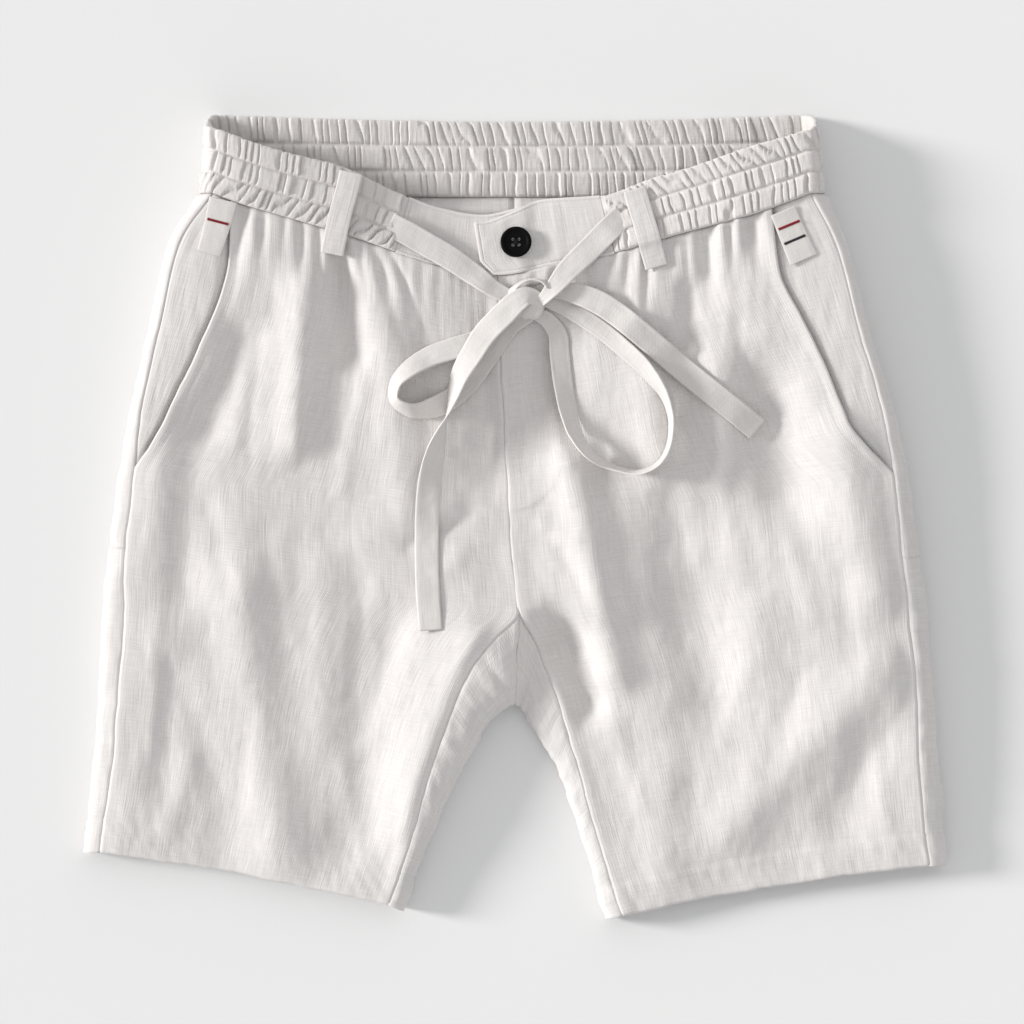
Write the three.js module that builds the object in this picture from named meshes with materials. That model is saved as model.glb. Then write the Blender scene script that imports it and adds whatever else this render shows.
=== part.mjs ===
// Bermuda shorts lying flat on their back, front up, waistband open.
// Millimetres. X across the front, Y towards the waistband, Z up from the surface they lie on.
// "Left" and "right" are as seen from above.
import * as THREE from 'three';
import { mergeVertices } from 'three/addons/utils/BufferGeometryUtils.js';

// Driving dimensions
const CLOTH = 1.2; // wall of the panels
const SEAM = 0.36; // space between two pieces that are sewn together
const LIFT = 0.3; // space between layers that lie on each other
const BAND = 2.4; // wall of the waistband, two layers of cloth and the elastic
const RIB = 1.8; // height of the waistband's gathers
const RIB_PITCH = 6.8; // one gather of the waistband
const FLOOR_TURN = 10; // how far a side fold runs in before it lies flat
const HEM = 0.5; // extra thickness of the turned hem
const FLY_WIDTH = 36; // from the front opening to the curved stitch line
const FLY_STEP = 0.7; // the fly's second layer
const TIE_WALL = 1.2;
const BUTTON = { radius: 10, wall: 2.6, bevel: 0.5, hole: 1.2, spread: 2.6 };

const LEFT = -1;
const RIGHT = 1;

// Helpers
const vec = (x, y, z) => new THREE.Vector3(x, y, z);
const UP = vec(0, 0, 1);
const mix = (a, b, t) => a + (b - a) * t;
const clamp = (t) => Math.min(1, Math.max(0, t));
const smooth = (t) => clamp(t) ** 2 * (3 - 2 * clamp(t));
const steps = (n) => Array.from({ length: n + 1 }, (_, k) => k / n);
const uneven = (k) => Math.sin(k * 12.9898) * 0.5 + Math.sin(k * 4.1414 + 1) * 0.5; // -1 to 1
const rowsOf = (names, rows) => rows.map((row) => Object.fromEntries(names.map((n, k) => [n, row[k]])));

// A smooth curve through the points (xs, ys) that doesn't swing past them
function curve(xs, ys) {
  const slope = xs.slice(1).map((x, k) => (ys[k + 1] - ys[k]) / (x - xs[k]));
  const tangent = xs.map((_, k) => {
    if (k === 0) return slope[0];
    if (k === xs.length - 1) return slope[k - 1];
    const [a, b] = [slope[k - 1], slope[k]];
    return a * b <= 0 ? 0 : (2 * a * b) / (a + b);
  });
  return (x) => {
    let k = 0;
    while (k < xs.length - 2 && x > xs[k + 1]) k += 1;
    const width = xs[k + 1] - xs[k];
    const t = clamp((x - xs[k]) / width);
    const rest = 1 - t;
    return ys[k] * rest * rest * (1 + 2 * t) + ys[k + 1] * t * t * (3 - 2 * t)
      + width * t * rest * (tangent[k] * rest - tangent[k + 1] * t);
  };
}

function curvesOf(rows, key) {
  const xs = rows.map((r) => r[key]);
  const named = Object.keys(rows[0]).filter((n) => n !== key);
  const found = Object.fromEntries(named.map((n) => [n, curve(xs, rows.map((r) => r[n]))]));
  return (x) => Object.fromEntries(named.map((n) => [n, found[n](x)]));
}

// Sizes of each half from the waist seam (level 0) past the crotch (level 5) to the hem (level 12).
// outer: the side fold's outermost x. side: the side seam. inner: the centre front seam, then the
// inseam. fold: the centre back seam, then the inner fold's outermost point. top: height of the front
// at the side seam, in the middle and at the inner edge.
const LEVELS = ['level', 'outer', 'sideX', 'sideY', 'innerX', 'innerY', 'foldX', 'foldY',
  'topSide', 'topMid', 'topInner'];
const HALF = {
  [LEFT]: curvesOf(rowsOf(LEVELS, [
    [0, -203.0, -192.0, 205.0, -10.6, 153.6, 0, 205.0, 31, 26, 19],
    [1, -221.8, -213.4, 173.8, -9.3, 124.5, 0, 170.6, 31, 25, 20],
    [2, -234.6, -226.4, 120.6, -7.4, 74.6, 0, 109.8, 28, 22, 18],
    [3, -247.4, -239.0, 62.4, -4.2, 24.6, 0, 42.6, 26, 19, 17],
    [4, -256.3, -244.8, 10.6, -1.6, -25.3, 0, -40.6, 24, 17, 19],
    [5, -260.2, -248.6, -21.4, 2.9, -60.5, -0.3, -118.7, 23, 16, 21],
    [6, -262.1, -249.3, -39.4, -13.1, -77.8, -4.2, -121.3, 23, 15.5, 23],
    [7, -264.6, -249.3, -63.0, -29.1, -100.2, -14.4, -129.0, 22, 15, 23.5],
    [8, -265.9, -251.2, -88.6, -40.6, -125.1, -24.6, -146.9, 22, 15, 23.5],
    [9, -267.2, -254.4, -120.6, -49.6, -151.4, -38.1, -169.9, 21, 14.5, 22.5],
    [10, -269.8, -256.3, -152.6, -59.2, -181.4, -49.5, -195.5, 20, 14, 21.5],
    [11, -273.0, -260.8, -184.6, -69.2, -216.6, -60.6, -221.1, 19, 13, 19.5],
    [12, -276.2, -265.9, -215.4, -80.3, -249.3, -71.4, -253.1, 17, 12, 16],
  ]), 'level'),
  [RIGHT]: curvesOf(rowsOf(LEVELS, [
    [0, 200.5, 188.5, 205.0, -10.6, 153.6, 0, 205.0, 31, 25, 19],
    [1, 213.4, 205.0, 172.5, -9.3, 124.5, 0, 170.6, 31, 24, 20],
    [2, 227.5, 219.3, 119.4, -7.4, 74.6, 0, 109.8, 30, 22, 18],
    [3, 246.1, 236.5, 58.6, -4.2, 24.6, 0, 42.6, 27, 19, 17],
    [4, 255.7, 244.2, 7.4, -1.6, -25.3, 0, -40.6, 25, 18, 19],
    [5, 260.2, 247.4, -26.6, 2.9, -60.5, -0.3, -118.7, 24, 17, 21],
    [6, 262.7, 249.9, -47.0, 13.8, -82.2, 3.5, -122.6, 24, 17, 10],
    [7, 265.3, 251.8, -67.5, 22.1, -103.4, 9.9, -132.8, 23, 17, 9],
    [8, 267.2, 255.0, -95.0, 31.0, -127.7, 20.8, -148.2, 23, 16, 10.5],
    [9, 269.8, 257.0, -127.0, 39.4, -155.8, 31.7, -171.8, 22, 15, 13],
    [10, 273.0, 258.9, -159.0, 48.3, -189.1, 40.6, -197.8, 21, 14, 15],
    [11, 275.5, 261.4, -191.0, 57.9, -221.1, 50.2, -227.5, 19, 13, 15],
    [12, 276.8, 265.9, -223.7, 69.4, -256.0, 59.0, -258.6, 17, 12, 15],
  ]), 'level'),
};
const CROTCH = 5;
const HEM_LEVEL = 12;

// Front edges of the open waistband: the folded top edge and the seam to the panels
const bandTop = curvesOf(rowsOf(['x', 'y', 'z'], [
  [-188, 246.5, 28], [-170, 239.7, 28.5], [-147.5, 232.6, 27.5], [-111.7, 223.7, 24], [-75, 207, 19],
  [-47.7, 196.8, 16], [-20, 192.5, 15], [0, 196.5, 15], [19.5, 202.5, 16], [55.4, 204.8, 18],
  [84.8, 214.7, 21], [113, 223, 24], [148.8, 235.2, 28], [176, 243, 29], [186, 246.5, 29],
]), 'x');
const bandFoot = curvesOf(rowsOf(['x', 'y', 'z'], [
  [-192, 205.4, 31], [-176.3, 199.4, 32], [-147.5, 191, 30], [-105.9, 178.9, 27], [-75.2, 168.6, 24],
  [-43.2, 159, 20.5], [-10.6, 154.6, 19], [29.1, 161.6, 20], [55.4, 166.1, 22], [106.6, 180.2, 27],
  [156.5, 193.6, 31], [188.5, 205.4, 31],
]), 'x');
// Where each gathered half of the waistband ends: at the plain middle and at the top of the side fold
const BAND_HALF = {
  [LEFT]: {
    plainTop: -67.5, plainFoot: -76, sideTop: -188, sideFoot: -192, outerTop: -196.2, outerFoot: -200.2,
  },
  [RIGHT]: {
    plainTop: 54.5, plainFoot: 64, sideTop: 184, sideFoot: 188.5, outerTop: 192.2, outerFoot: 197,
  },
};
const BACK_BAND = { top: 256, sag: 2.6, foot: 205.4 };

// Largest folds of the fronts: a soft ridge (or trough, height below 0) from one point to another
const FOLD = ['x1', 'y1', 'x2', 'y2', 'width', 'height'];
const FOLDS = {
  [LEFT]: rowsOf(FOLD, [
    [-137, 164, -153, 42, 13, 4.6], [-113, 170, -106, 95, 9, -3.4], [-176, 122, -200, 48, 11, -3.2],
    [-88, 138, -72, -2, 15, 3.2], [-38, 68, -14, 22, 13, -3.2], [-182, -20, -156, -220, 19, 4.8],
    [-100, -60, -116, -190, 19, -4.4], [-205, 70, -213, -60, 12, -2.2],
    [-16, 118, -10, 76, 13, -3.0], [-218, -90, -226, -180, 12, -1.8],
  ]),
  [RIGHT]: rowsOf(FOLD, [
    [14, 36, 66, -70, 13, 5.2], [10, -68, 62, -118, 15, -4.6], [98, -30, 124, -140, 18, -4.0],
    [247, -84, 122, -218, 17, 5.0], [186, 62, 226, -50, 14, 3.2], [168, 98, 170, 6, 19, -4.4],
    [112, 151, 110, 100, 8, -2.8], [132, 108, 140, 20, 14, 2.8], [80, 138, 92, 20, 12, 2.6],
    [236, -120, 196, -200, 12, -2.8], [14, 116, 16, 68, 13, -3.4], [176, -40, 150, -110, 16, -2.6],
  ]),
};
// Gathers below the waistband: troughs that start at x on the seam and lean as they run down
const GATHER = ['x', 'depth', 'reach', 'lean'];
const GATHERS = {
  [LEFT]: rowsOf(GATHER, [
    [-184.5, 1.1, 30, -0.12], [-172.5, 1.7, 52, -0.1], [-159.7, 2.2, 80, -0.06],
    [-147, 1.6, 50, -0.04], [-135.4, 1.8, 66, 0], [-123.2, 2.3, 92, 0.02], [-111.7, 2.0, 74, 0.06],
    [-100.2, 1.7, 58, 0.14], [-89.3, 2.0, 70, 0.3], [-79.2, 1.5, 60, 0.5],
  ]),
  [RIGHT]: rowsOf(GATHER, [
    [62.4, 1.5, 55, -0.2], [73.9, 1.9, 66, -0.12], [86.7, 2.1, 84, -0.02], [98.2, 1.6, 56, 0.04],
    [111, 2.4, 96, 0.1], [123.8, 1.7, 60, 0.08], [136.6, 2.0, 76, 0.1], [150.7, 1.7, 58, 0.14],
    [165, 1.2, 34, 0.16],
  ]),
};
const GATHER_WIDTH = 4;

// Slanted pocket mouths, x over y
const MOUTH = {
  [LEFT]: curve([31, 49.6, 75.8, 105.9, 142.4, 162.2, 200],
    [-242.5, -229.4, -216, -201.9, -186.6, -182.1, -180.2]),
  [RIGHT]: curve([28, 42, 55.4, 80.3, 105.9, 127.7, 155.8, 195],
    [241.5, 226, 214.1, 203.8, 193, 182.1, 168.6, 163.5]),
};
const MOUTH_END = 3.6; // level at which the mouth runs into the side seam
const MOUTH_OPEN = 0.9; // the mouth's edge stands up and the facing lies down by this much
const FACING_UNDER = 9; // how far the facing runs on under the front

// Surface of the fronts
const bow = (level) => mix(-3, 3, level / HEM_LEVEL);

function rowPoint(side, level, across) {
  const row = HALF[side](level);
  const x = mix(row.sideX, row.innerX, across);
  const straight = mix(row.sideY, row.innerY, across) + 4 * across * (1 - across) * bow(level);
  const atWaist = 1 - smooth(level / 1.2);
  if (atWaist === 0) return { x, y: straight, row };
  const top = HALF[side](0);
  const u = clamp((x - top.sideX) / (top.innerX - top.sideX));
  const waist = bandFoot(mix(top.sideX, top.innerX, u));
  const asDrawn = mix(top.sideY, top.innerY, u) + 4 * u * (1 - u) * bow(0);
  return { x, y: straight + atWaist * (waist.y - 0.2 - asDrawn), row, atWaist, waist };
}

function crown(row, across) {
  return across < 0.5 ? mix(row.topSide, row.topMid, smooth(2 * across))
    : mix(row.topMid, row.topInner, smooth(2 * across - 1));
}

function foldHeight({ x1, y1, x2, y2, width, height }, x, y) {
  const [dx, dy] = [x2 - x1, y2 - y1];
  const length = Math.hypot(dx, dy);
  const along = ((x - x1) * dx + (y - y1) * dy) / length;
  const off = ((x - x1) * dy - (y - y1) * dx) / length;
  const ends = smooth((along + width) / (2 * width)) * smooth((length + width - along) / (2 * width));
  return height * ends * Math.exp(-((off / width) ** 2));
}

function gatherDepth(side, x, below) {
  let depth = 0;
  for (const g of GATHERS[side]) {
    const off = (x - g.x - g.lean * below) / GATHER_WIDTH;
    depth += g.depth * Math.exp(-off * off) * mix(0.3, 1, smooth(below / 9)) * (1 - smooth(below / g.reach));
  }
  return depth;
}

// Middle of the front's cloth; across is 0 at the side seam and 1 at the centre seam or inseam
function frontPoint(side, level, across) {
  const { x, y, row, atWaist, waist } = rowPoint(side, level, across);
  let z = crown(row, across);
  if (atWaist) z = mix(z, waist.z, atWaist);
  const below = Math.max(0, bandFoot(clampX(x)).y - y);
  const nearSeams = smooth(across / 0.05) * smooth((1 - across) / 0.05);
  const folds = FOLDS[side].reduce((sum, f) => sum + foldHeight(f, x, y), 0);
  z += nearSeams * (folds * smooth(level) - gatherDepth(side, x, below));
  return vec(x, y, z);
}

function clampX(x) {
  return Math.min(188.5, Math.max(-192, x));
}

// How far across the pocket mouth crosses the row at this level
function mouthAcross(side, level) {
  let across = 0.15;
  for (let k = 0; k < 8; k += 1) {
    const { y, row } = rowPoint(side, level, across);
    across = Math.max(0, (MOUTH[side](y) - row.sideX) / (row.innerX - row.sideX));
  }
  return across;
}

const rowWidth = (side, level) => Math.abs(HALF[side](level).sideX - HALF[side](level).innerX);

// Height of the top of everything under (x, y), for what lies on it
function panelTop(side, x, y) {
  let [lo, hi] = [0, HEM_LEVEL];
  const acrossAt = (level) => {
    const row = HALF[side](level);
    return clamp((x - row.sideX) / (row.innerX - row.sideX));
  };
  for (let k = 0; k < 22; k += 1) {
    const level = (lo + hi) / 2;
    if (rowPoint(side, level, acrossAt(level)).y > y) lo = level; else hi = level;
  }
  const point = frontPoint(side, lo, acrossAt(lo));
  const fly = side === RIGHT ? FLY_STEP : 0;
  return point.z + CLOTH / 2 + fly * (x < 46 && y > -10 ? 1 : 0);
}

function bandPoint(xTop, xFoot, down) {
  const [a, b] = [bandTop(xTop), bandFoot(xFoot)];
  return vec(mix(xTop, xFoot, down), mix(a.y, b.y, down), mix(a.z, b.z, down));
}

const plainEnd = (side, down) => mix(BAND_HALF[side].plainTop, BAND_HALF[side].plainFoot, down);

const TAB = { from: 55, over: [3, 15], raise: BAND + LIFT };
const tabRaise = (x) => TAB.raise * (1 - smooth((x - TAB.over[0]) / (TAB.over[1] - TAB.over[0])));

function topAt(x, y) {
  const foot = bandFoot(clampX(x)).y;
  const top = bandTop(Math.min(186, Math.max(-188, x))).y;
  const side = x < HALF[LEFT](2).innerX ? LEFT : RIGHT;
  if (y < foot) return panelTop(side, x, y) + (x * side > 160 ? MOUTH_OPEN : 0);
  const down = clamp((top - y) / (top - foot));
  const z = bandPoint(clampX(x), clampX(x), down).z + BAND / 2;
  const plain = x > plainEnd(LEFT, down) && x < plainEnd(RIGHT, down);
  if (!plain) return z + RIB;
  return z + (x > -27 ? tabRaise(x) : 0);
}

// Closed solids from a grid of points in the middle of a wall
const group = new THREE.Group();
group.name = 'bermuda_shorts';
const LINEN = { color: 0xe9e3d6, roughness: 0.95 };
const TAPE = { color: 0xe4ddcd, roughness: 0.9 };
const BLACK = { color: 0x1c1b1d, roughness: 0.35 };

function addSolid(name, look, points, faces) {
  const geometry = new THREE.BufferGeometry();
  const places = points.flatMap((p) => [p.x, p.y, p.z]);
  geometry.setAttribute('position', new THREE.Float32BufferAttribute(places, 3));
  geometry.setIndex(faces.flat());
  geometry.computeVertexNormals();
  const mesh = new THREE.Mesh(geometry, new THREE.MeshStandardMaterial({ ...look, metalness: 0 }));
  mesh.name = name;
  group.add(mesh);
}

// grid[row][column], null where the piece has no cloth; outward is 1 where columns x rows face out.
// raise(row, column) thickens the wall on its outer face, and below 0 on its inner face.
// seamNormal(row, column) gives the direction out of a seam that two pieces share.
function sheet(name, grid, {
  outward, wall = CLOTH, look = LINEN, raise = () => 0, gap = SEAM / 2, seamNormal,
}) {
  const at = (j, i) => (grid[j] ? grid[j][i] : null);
  const cell = (j, i) => Boolean(at(j, i) && at(j, i + 1) && at(j + 1, i) && at(j + 1, i + 1));
  const cellNormal = (j, i) => at(j + 1, i + 1).clone().sub(at(j, i))
    .cross(at(j + 1, i).clone().sub(at(j, i + 1)));
  const outer = new Map();
  const inner = new Map();
  const points = [];
  const key = (j, i) => j * 1000 + i;
  grid.forEach((row, j) => row.forEach((point, i) => {
    if (!point) return;
    const near = [[j - 1, i - 1], [j - 1, i], [j, i - 1], [j, i]]
      .map(([b, a]) => (cell(b, a) ? [b, a] : null));
    if (!near.some(Boolean)) return;
    const normal = vec(0, 0, 0);
    near.filter(Boolean).forEach(([b, a]) => normal.add(cellNormal(b, a).normalize()));
    normal.normalize().multiplyScalar(outward);
    const shared = seamNormal && seamNormal(j, i);
    if (shared) normal.copy(shared).multiplyScalar(Math.sign(shared.dot(normal)) || 1);
    const [upLeft, upRight, downLeft, downRight] = near.map(Boolean);
    const moved = point.clone();
    const pull = (to) => moved.add(to.clone().sub(point).setLength(gap));
    const corner = near.filter(Boolean).length === 3;
    if ((!upLeft && !downLeft) || (corner && !(upLeft && downLeft))) pull(at(j, i + 1));
    if ((!upRight && !downRight) || (corner && !(upRight && downRight))) pull(at(j, i - 1));
    if ((!upLeft && !upRight) || (corner && !(upLeft && upRight))) pull(at(j + 1, i));
    if ((!downLeft && !downRight) || (corner && !(downLeft && downRight))) pull(at(j - 1, i));
    const extra = raise(j, i, normal);
    const [up, down] = [wall / 2 + Math.max(0, extra), -wall / 2 + Math.min(0, extra)];
    outer.set(key(j, i), points.push(moved.clone().addScaledVector(normal, up)) - 1);
    inner.set(key(j, i), points.push(moved.clone().addScaledVector(normal, down)) - 1);
  }));
  const faces = [];
  const quad = (a, b, c, d) => {
    const flip = points[a].distanceTo(points[c]) > points[b].distanceTo(points[d]);
    const two = flip ? [[a, b, d], [b, c, d]] : [[a, b, c], [a, c, d]];
    two.forEach(([p, q, r]) => faces.push(outward > 0 ? [p, q, r] : [p, r, q]));
  };
  for (let j = 0; j < grid.length - 1; j += 1) {
    for (let i = 0; i < grid[0].length - 1; i += 1) {
      if (!cell(j, i)) continue;
      const ring = [[j, i], [j, i + 1], [j + 1, i + 1], [j + 1, i]].map(([b, a]) => key(b, a));
      quad(...ring.map((k) => outer.get(k)));
      quad(...ring.map((k) => inner.get(k)).reverse());
      const beyond = [[j - 1, i], [j, i + 1], [j + 1, i], [j, i - 1]];
      beyond.forEach(([b, a], k) => {
        if (cell(b, a)) return;
        const [p, q] = [ring[k], ring[(k + 1) % 4]];
        quad(outer.get(q), outer.get(p), inner.get(p), inner.get(q));
      });
    }
  }
  addSolid(name, look, points, faces);
}

// Levels of the rows of every panel, so that the edges of a seam match
const ROWS = [0, 0.3, 0.7, 1.2, 1.8, 2.5, 3, 3.3, MOUTH_END, 4.2,
  CROTCH, 5.8, 6.7, 7.8, 9, 10.2, 11.34, 11.42, HEM_LEVEL];

// Columns: a third of a gather each where the cloth is gathered, wider where it is plain
function frontColumns(side) {
  const top = HALF[side](0);
  const toAcross = (x) => (x - top.sideX) / (top.innerX - top.sideX);
  const troughs = GATHERS[side].map((g) => toAcross(g.x)).sort((a, b) => a - b);
  const inner = troughs.flatMap((a, k) => {
    const next = troughs[k + 1];
    return next === undefined ? [a] : [a, mix(a, next, 1 / 3), mix(a, next, 2 / 3)];
  }).filter((a) => a > 0.12);
  const last = inner[inner.length - 1];
  return [...inner, ...steps(8).slice(1).map((t) => mix(last, 1, t))];
}

function flyStep(x, y, level) {
  const from = x - HALF[RIGHT](level).innerX;
  const width = y > 38 ? FLY_WIDTH : FLY_WIDTH * Math.sqrt(clamp(1 - ((38 - y) / 35) ** 2));
  return FLY_STEP * smooth((width - from) / 2 + 0.5);
}

function addFront(name, side) {
  const columns = frontColumns(side);
  const grid = ROWS.map((level) => {
    const edge = level < MOUTH_END ? mouthAcross(side, level) : 0;
    const kept = columns.filter((a) => a > 0.135);
    // the outer columns fan out from the mouth's edge, or from the side seam below it
    const fan = steps(4).map((t) => mix(edge, kept[0], t)).slice(0, -1);
    const rest = kept.map((a) => Math.max(a, mix(edge, 1, 0.02 + a * 0.02)));
    return [...fan, ...rest].map((across) => {
      const point = frontPoint(side, level, across);
      const fromMouth = (across - edge) * rowWidth(side, level);
      const open = MOUTH_OPEN * smooth(4 * (MOUTH_END - level));
      if (level < MOUTH_END) point.z += open * Math.exp(-fromMouth / 8);
      return point;
    });
  });
  const raise = (j, i) => {
    const level = ROWS[j];
    const hem = level > 11.4 ? HEM : 0;
    const { x, y } = grid[j][i];
    return hem + (side === RIGHT && level < CROTCH ? flyStep(x, y, level) : 0);
  };
  const atSeam = (j, i) => i === grid[0].length - 1 || (i === 0 && ROWS[j] >= MOUTH_END);
  sheet(name, grid, { outward: side, raise, seamNormal: (j, i) => (atSeam(j, i) ? UP : null) });
}

// The facing shows in the pocket mouth and runs on under the front
function addFacing(name, side) {
  const levels = ROWS.slice(0, ROWS.indexOf(MOUTH_END));
  const grid = levels.map((level) => {
    const mouth = mouthAcross(side, level);
    const end = mouth + (FACING_UNDER * smooth((3.7 - level) / 1.4)) / rowWidth(side, level);
    return [0, 0.2, 0.42, 0.64, 0.85, 1].map((t) => {
      const across = end * t;
      const point = frontPoint(side, level, across);
      const past = (across - mouth) / Math.max(1e-6, end - mouth);
      point.z -= 1.3 * smooth(across / mouth) + 0.4 * smooth(past);
      return point;
    });
  });
  sheet(name, grid, { outward: side, seamNormal: (j, i) => (i === 0 ? UP : null) });
}

// A fold of cloth from its top point over its outermost point to the floor, at a turn of 0 to 1
function foldPoint(top, out, floor, turn) {
  const away = vec(out.x - top.x, out.y - top.y, 0);
  const width = away.length();
  away.normalize();
  const rise = (top.z - floor) / 2;
  const angle = Math.PI * (0.5 - turn);
  const reach = turn < 0.5 ? width * Math.cos(angle)
    : width - Math.max(FLOOR_TURN, width * 0.5) * (1 - Math.cos(angle));
  return vec(top.x, top.y, 0).addScaledVector(away, reach).setZ(floor + rise * (1 + Math.sin(angle)));
}

// Backs: over the side fold, along the floor, and below the crotch over the inner fold to the inseam
function addBack(name, side) {
  const floor = CLOTH / 2;
  const grid = ROWS.map((level) => {
    const row = HALF[side](level);
    const top = frontPoint(side, level, 0);
    const out = vec(row.outer - (side * CLOTH) / 2, top.y, 0);
    const outerFold = steps(7).map((t) => foldPoint(top, out, floor, t));
    const inseam = frontPoint(side, Math.max(level, CROTCH), 1);
    const fold = vec(row.foldX, row.foldY, 0);
    const innerFold = steps(8).map((t) => foldPoint(inseam, fold, floor, t)).reverse();
    const from = outerFold[outerFold.length - 1];
    const to = level < CROTCH ? vec(0, row.foldY, floor) : innerFold[0];
    const flat = steps(7).slice(1).map((t) => {
      const point = from.clone().lerp(to, t);
      point.y += 4 * t * (1 - t) * smooth((level - 6) / 6) * 5;
      return point;
    });
    return [...outerFold, ...flat, ...innerFold.slice(1).map((p) => (level < CROTCH ? null : p))];
  });
  const raise = (j, i, normal) => (ROWS[j] > 11.4 && normal.z > -0.2 ? HEM : 0);
  const [corner, last] = [14, grid[0].length - 1];
  const seamNormal = (j, i) => {
    if (i === 0 || i === last) return UP;
    if (ROWS[j] !== CROTCH || i < corner) return null;
    return grid[j][i + 1].clone().sub(grid[j][i - 1]).cross(vec(1, 0, 0)).normalize();
  };
  sheet(name, grid, { outward: -side, raise, seamNormal });
}

// Gathered waistband: three channels, pinched by the stitch lines between them
const CHANNEL_ROWS = [[0, 0.45], [1 / 6, 1], [1 / 3, 0.3], [1 / 2, 1], [2 / 3, 0.3], [5 / 6, 1], [1, 0.5]];

// Ribbed wall: the outer face has a row per crest and stitch line, the inner face is plain.
// at(along, down) is the middle of the wall at along columns and down rows.
function ribbedBand(name, count, at, { outward, fade = () => 1 }) {
  const columns = steps(count * 2);
  const step = 1 / columns.length;
  const normalAt = (t, w) => at(Math.min(1, t + step), w).sub(at(Math.max(0, t - step), w))
    .cross(at(t, 1).sub(at(t, 0))).normalize().multiplyScalar(outward);
  const points = [];
  const grid = columns.map((t, i) => {
    const shift = i % 2 || i === 0 || i === columns.length - 1 ? 0 : uneven(i) * 0.25;
    const along = clamp(t + shift * step);
    const rib = (i % 2 ? 1 - 0.25 * Math.abs(uneven(i + 7)) : 0.08) * RIB * fade(along);
    const outer = CHANNEL_ROWS.map(([w, full]) => {
      const lifted = at(along, w).addScaledVector(normalAt(along, w), BAND / 2 + rib * full);
      return points.push(lifted) - 1;
    });
    const inner = [0, 1].map((w) => points
      .push(at(along, w).addScaledVector(normalAt(along, w), -BAND / 2)) - 1);
    return { outer, inner };
  });
  const faces = [];
  const add = (...ring) => {
    for (let k = 1; k < ring.length - 1; k += 1) {
      const face = [ring[0], ring[k], ring[k + 1]];
      faces.push(outward > 0 ? face : face.reverse());
    }
  };
  const last = CHANNEL_ROWS.length - 1;
  grid.slice(1).forEach((b, i) => {
    const a = grid[i];
    for (let w = 0; w < last; w += 1) add(a.outer[w], b.outer[w], b.outer[w + 1], a.outer[w + 1]);
    add(a.inner[1], b.inner[1], b.inner[0], a.inner[0]);
    add(a.inner[0], b.inner[0], b.outer[0], a.outer[0]);
    add(a.outer[last], b.outer[last], b.inner[1], a.inner[1]);
  });
  const [first, end] = [grid[0], grid[grid.length - 1]];
  add(first.inner[0], ...first.outer, first.inner[1]);
  add(end.inner[1], ...[...end.outer].reverse(), end.inner[0]);
  addSolid(name, LINEN, points, faces);
}

// From the plain middle out to the side fold and down round it to the floor
function addBandHalf(name, side) {
  const half = BAND_HALF[side];
  const turnAt = 0.78; // share of the length that lies on the front
  const at = (along, down) => {
    const t = Math.min(1, along / turnAt);
    const gap = side * (SEAM / 2);
    const point = bandPoint(mix(half.plainTop + gap, half.sideTop, t),
      mix(half.plainFoot + gap, half.sideFoot, t), down);
    if (along <= turnAt) return point;
    const turn = (along - turnAt) / (1 - turnAt);
    const out = vec(mix(half.outerTop, half.outerFoot, down), point.y, 0);
    const folded = foldPoint(point, out, BAND / 2, turn);
    const rise = (BACK_BAND.top - bandTop(half.sideTop).y) * (1 - down); // up to the back's edge
    return folded.setY(folded.y + rise * smooth(turn * 1.25));
  };
  const length = at(0, 0.5).distanceTo(at(turnAt, 0.5)) / turnAt;
  const fade = (along) => 1 - smooth((along - 0.86) / 0.08);
  ribbedBand(name, Math.round(length / RIB_PITCH), at, { outward: -side, fade });
}

function backBandPoint(along, down) {
  const end = (side) => {
    const half = BAND_HALF[side];
    return mix(half.outerTop, half.outerFoot, down) - side * (FLOOR_TURN + SEAM);
  };
  const x = mix(end(LEFT), end(RIGHT), along);
  const top = mix(BACK_BAND.top, BACK_BAND.top - BACK_BAND.sag, Math.sin(Math.PI * along));
  return vec(x, mix(top, BACK_BAND.foot, down), BAND / 2);
}

// Plain middle of the waistband: the part below, and above it the part with the button tab
function addPlainBand() {
  const below = steps(3).map((down) => steps(8).map((t) => {
    const x = mix(plainEnd(LEFT, down), 1, t);
    return bandPoint(x, x, down);
  }));
  sheet('waistband_front', below, { outward: LEFT, wall: BAND });

  const tip = [[0, -25.6], [0.25, -24.3], [0.5, -23], [0.76, -21.6], [0.88, -17.5], [1, -13.4]];
  const tab = tip.map(([down, tipX]) => steps(14).map((t) => {
    const x = mix(tipX, plainEnd(RIGHT, down), t);
    const slope = 0.13 * (1 - smooth((x + 26) / 40)); // the tab's top edge lies lower at its tip
    const point = bandPoint(x, x, mix(slope, 1, down));
    return point.setZ(point.z + tabRaise(x));
  }));
  sheet('waistband_tab', tab, { outward: LEFT, wall: BAND });
}

// Straps and tape that lie on the cloth: a strip along a path, as high as what it crosses
const STRIP = ['x', 'y', 'lift', 'width'];

function addStrap(name, rows, look, wall, count = 14) {
  const track = rowsOf(STRIP, rows);
  const path = track.map((r) => vec(r.x, r.y, 0));
  const line = new THREE.CatmullRomCurve3(path, false, 'centripetal');
  const pick = (t, key) => curve(steps(track.length - 1), track.map((r) => r[key]))(t);
  const grid = steps(count).map((t) => {
    const point = line.getPoint(t);
    const tangent = line.getTangent(t);
    const across = vec(-tangent.y, tangent.x, 0).normalize();
    const half = pick(t, 'width') / 2;
    const at = (share) => point.clone().addScaledVector(across, share * half);
    const height = Math.max(...[-1, -0.5, 0, 0.5, 1].map((share) => topAt(at(share).x, at(share).y)));
    return [at(-1), at(1)].map((p) => p.setZ(height + pick(t, 'lift') + wall / 2));
  });
  sheet(name, grid, { outward: 1, wall, look, gap: 0 });
}

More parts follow.
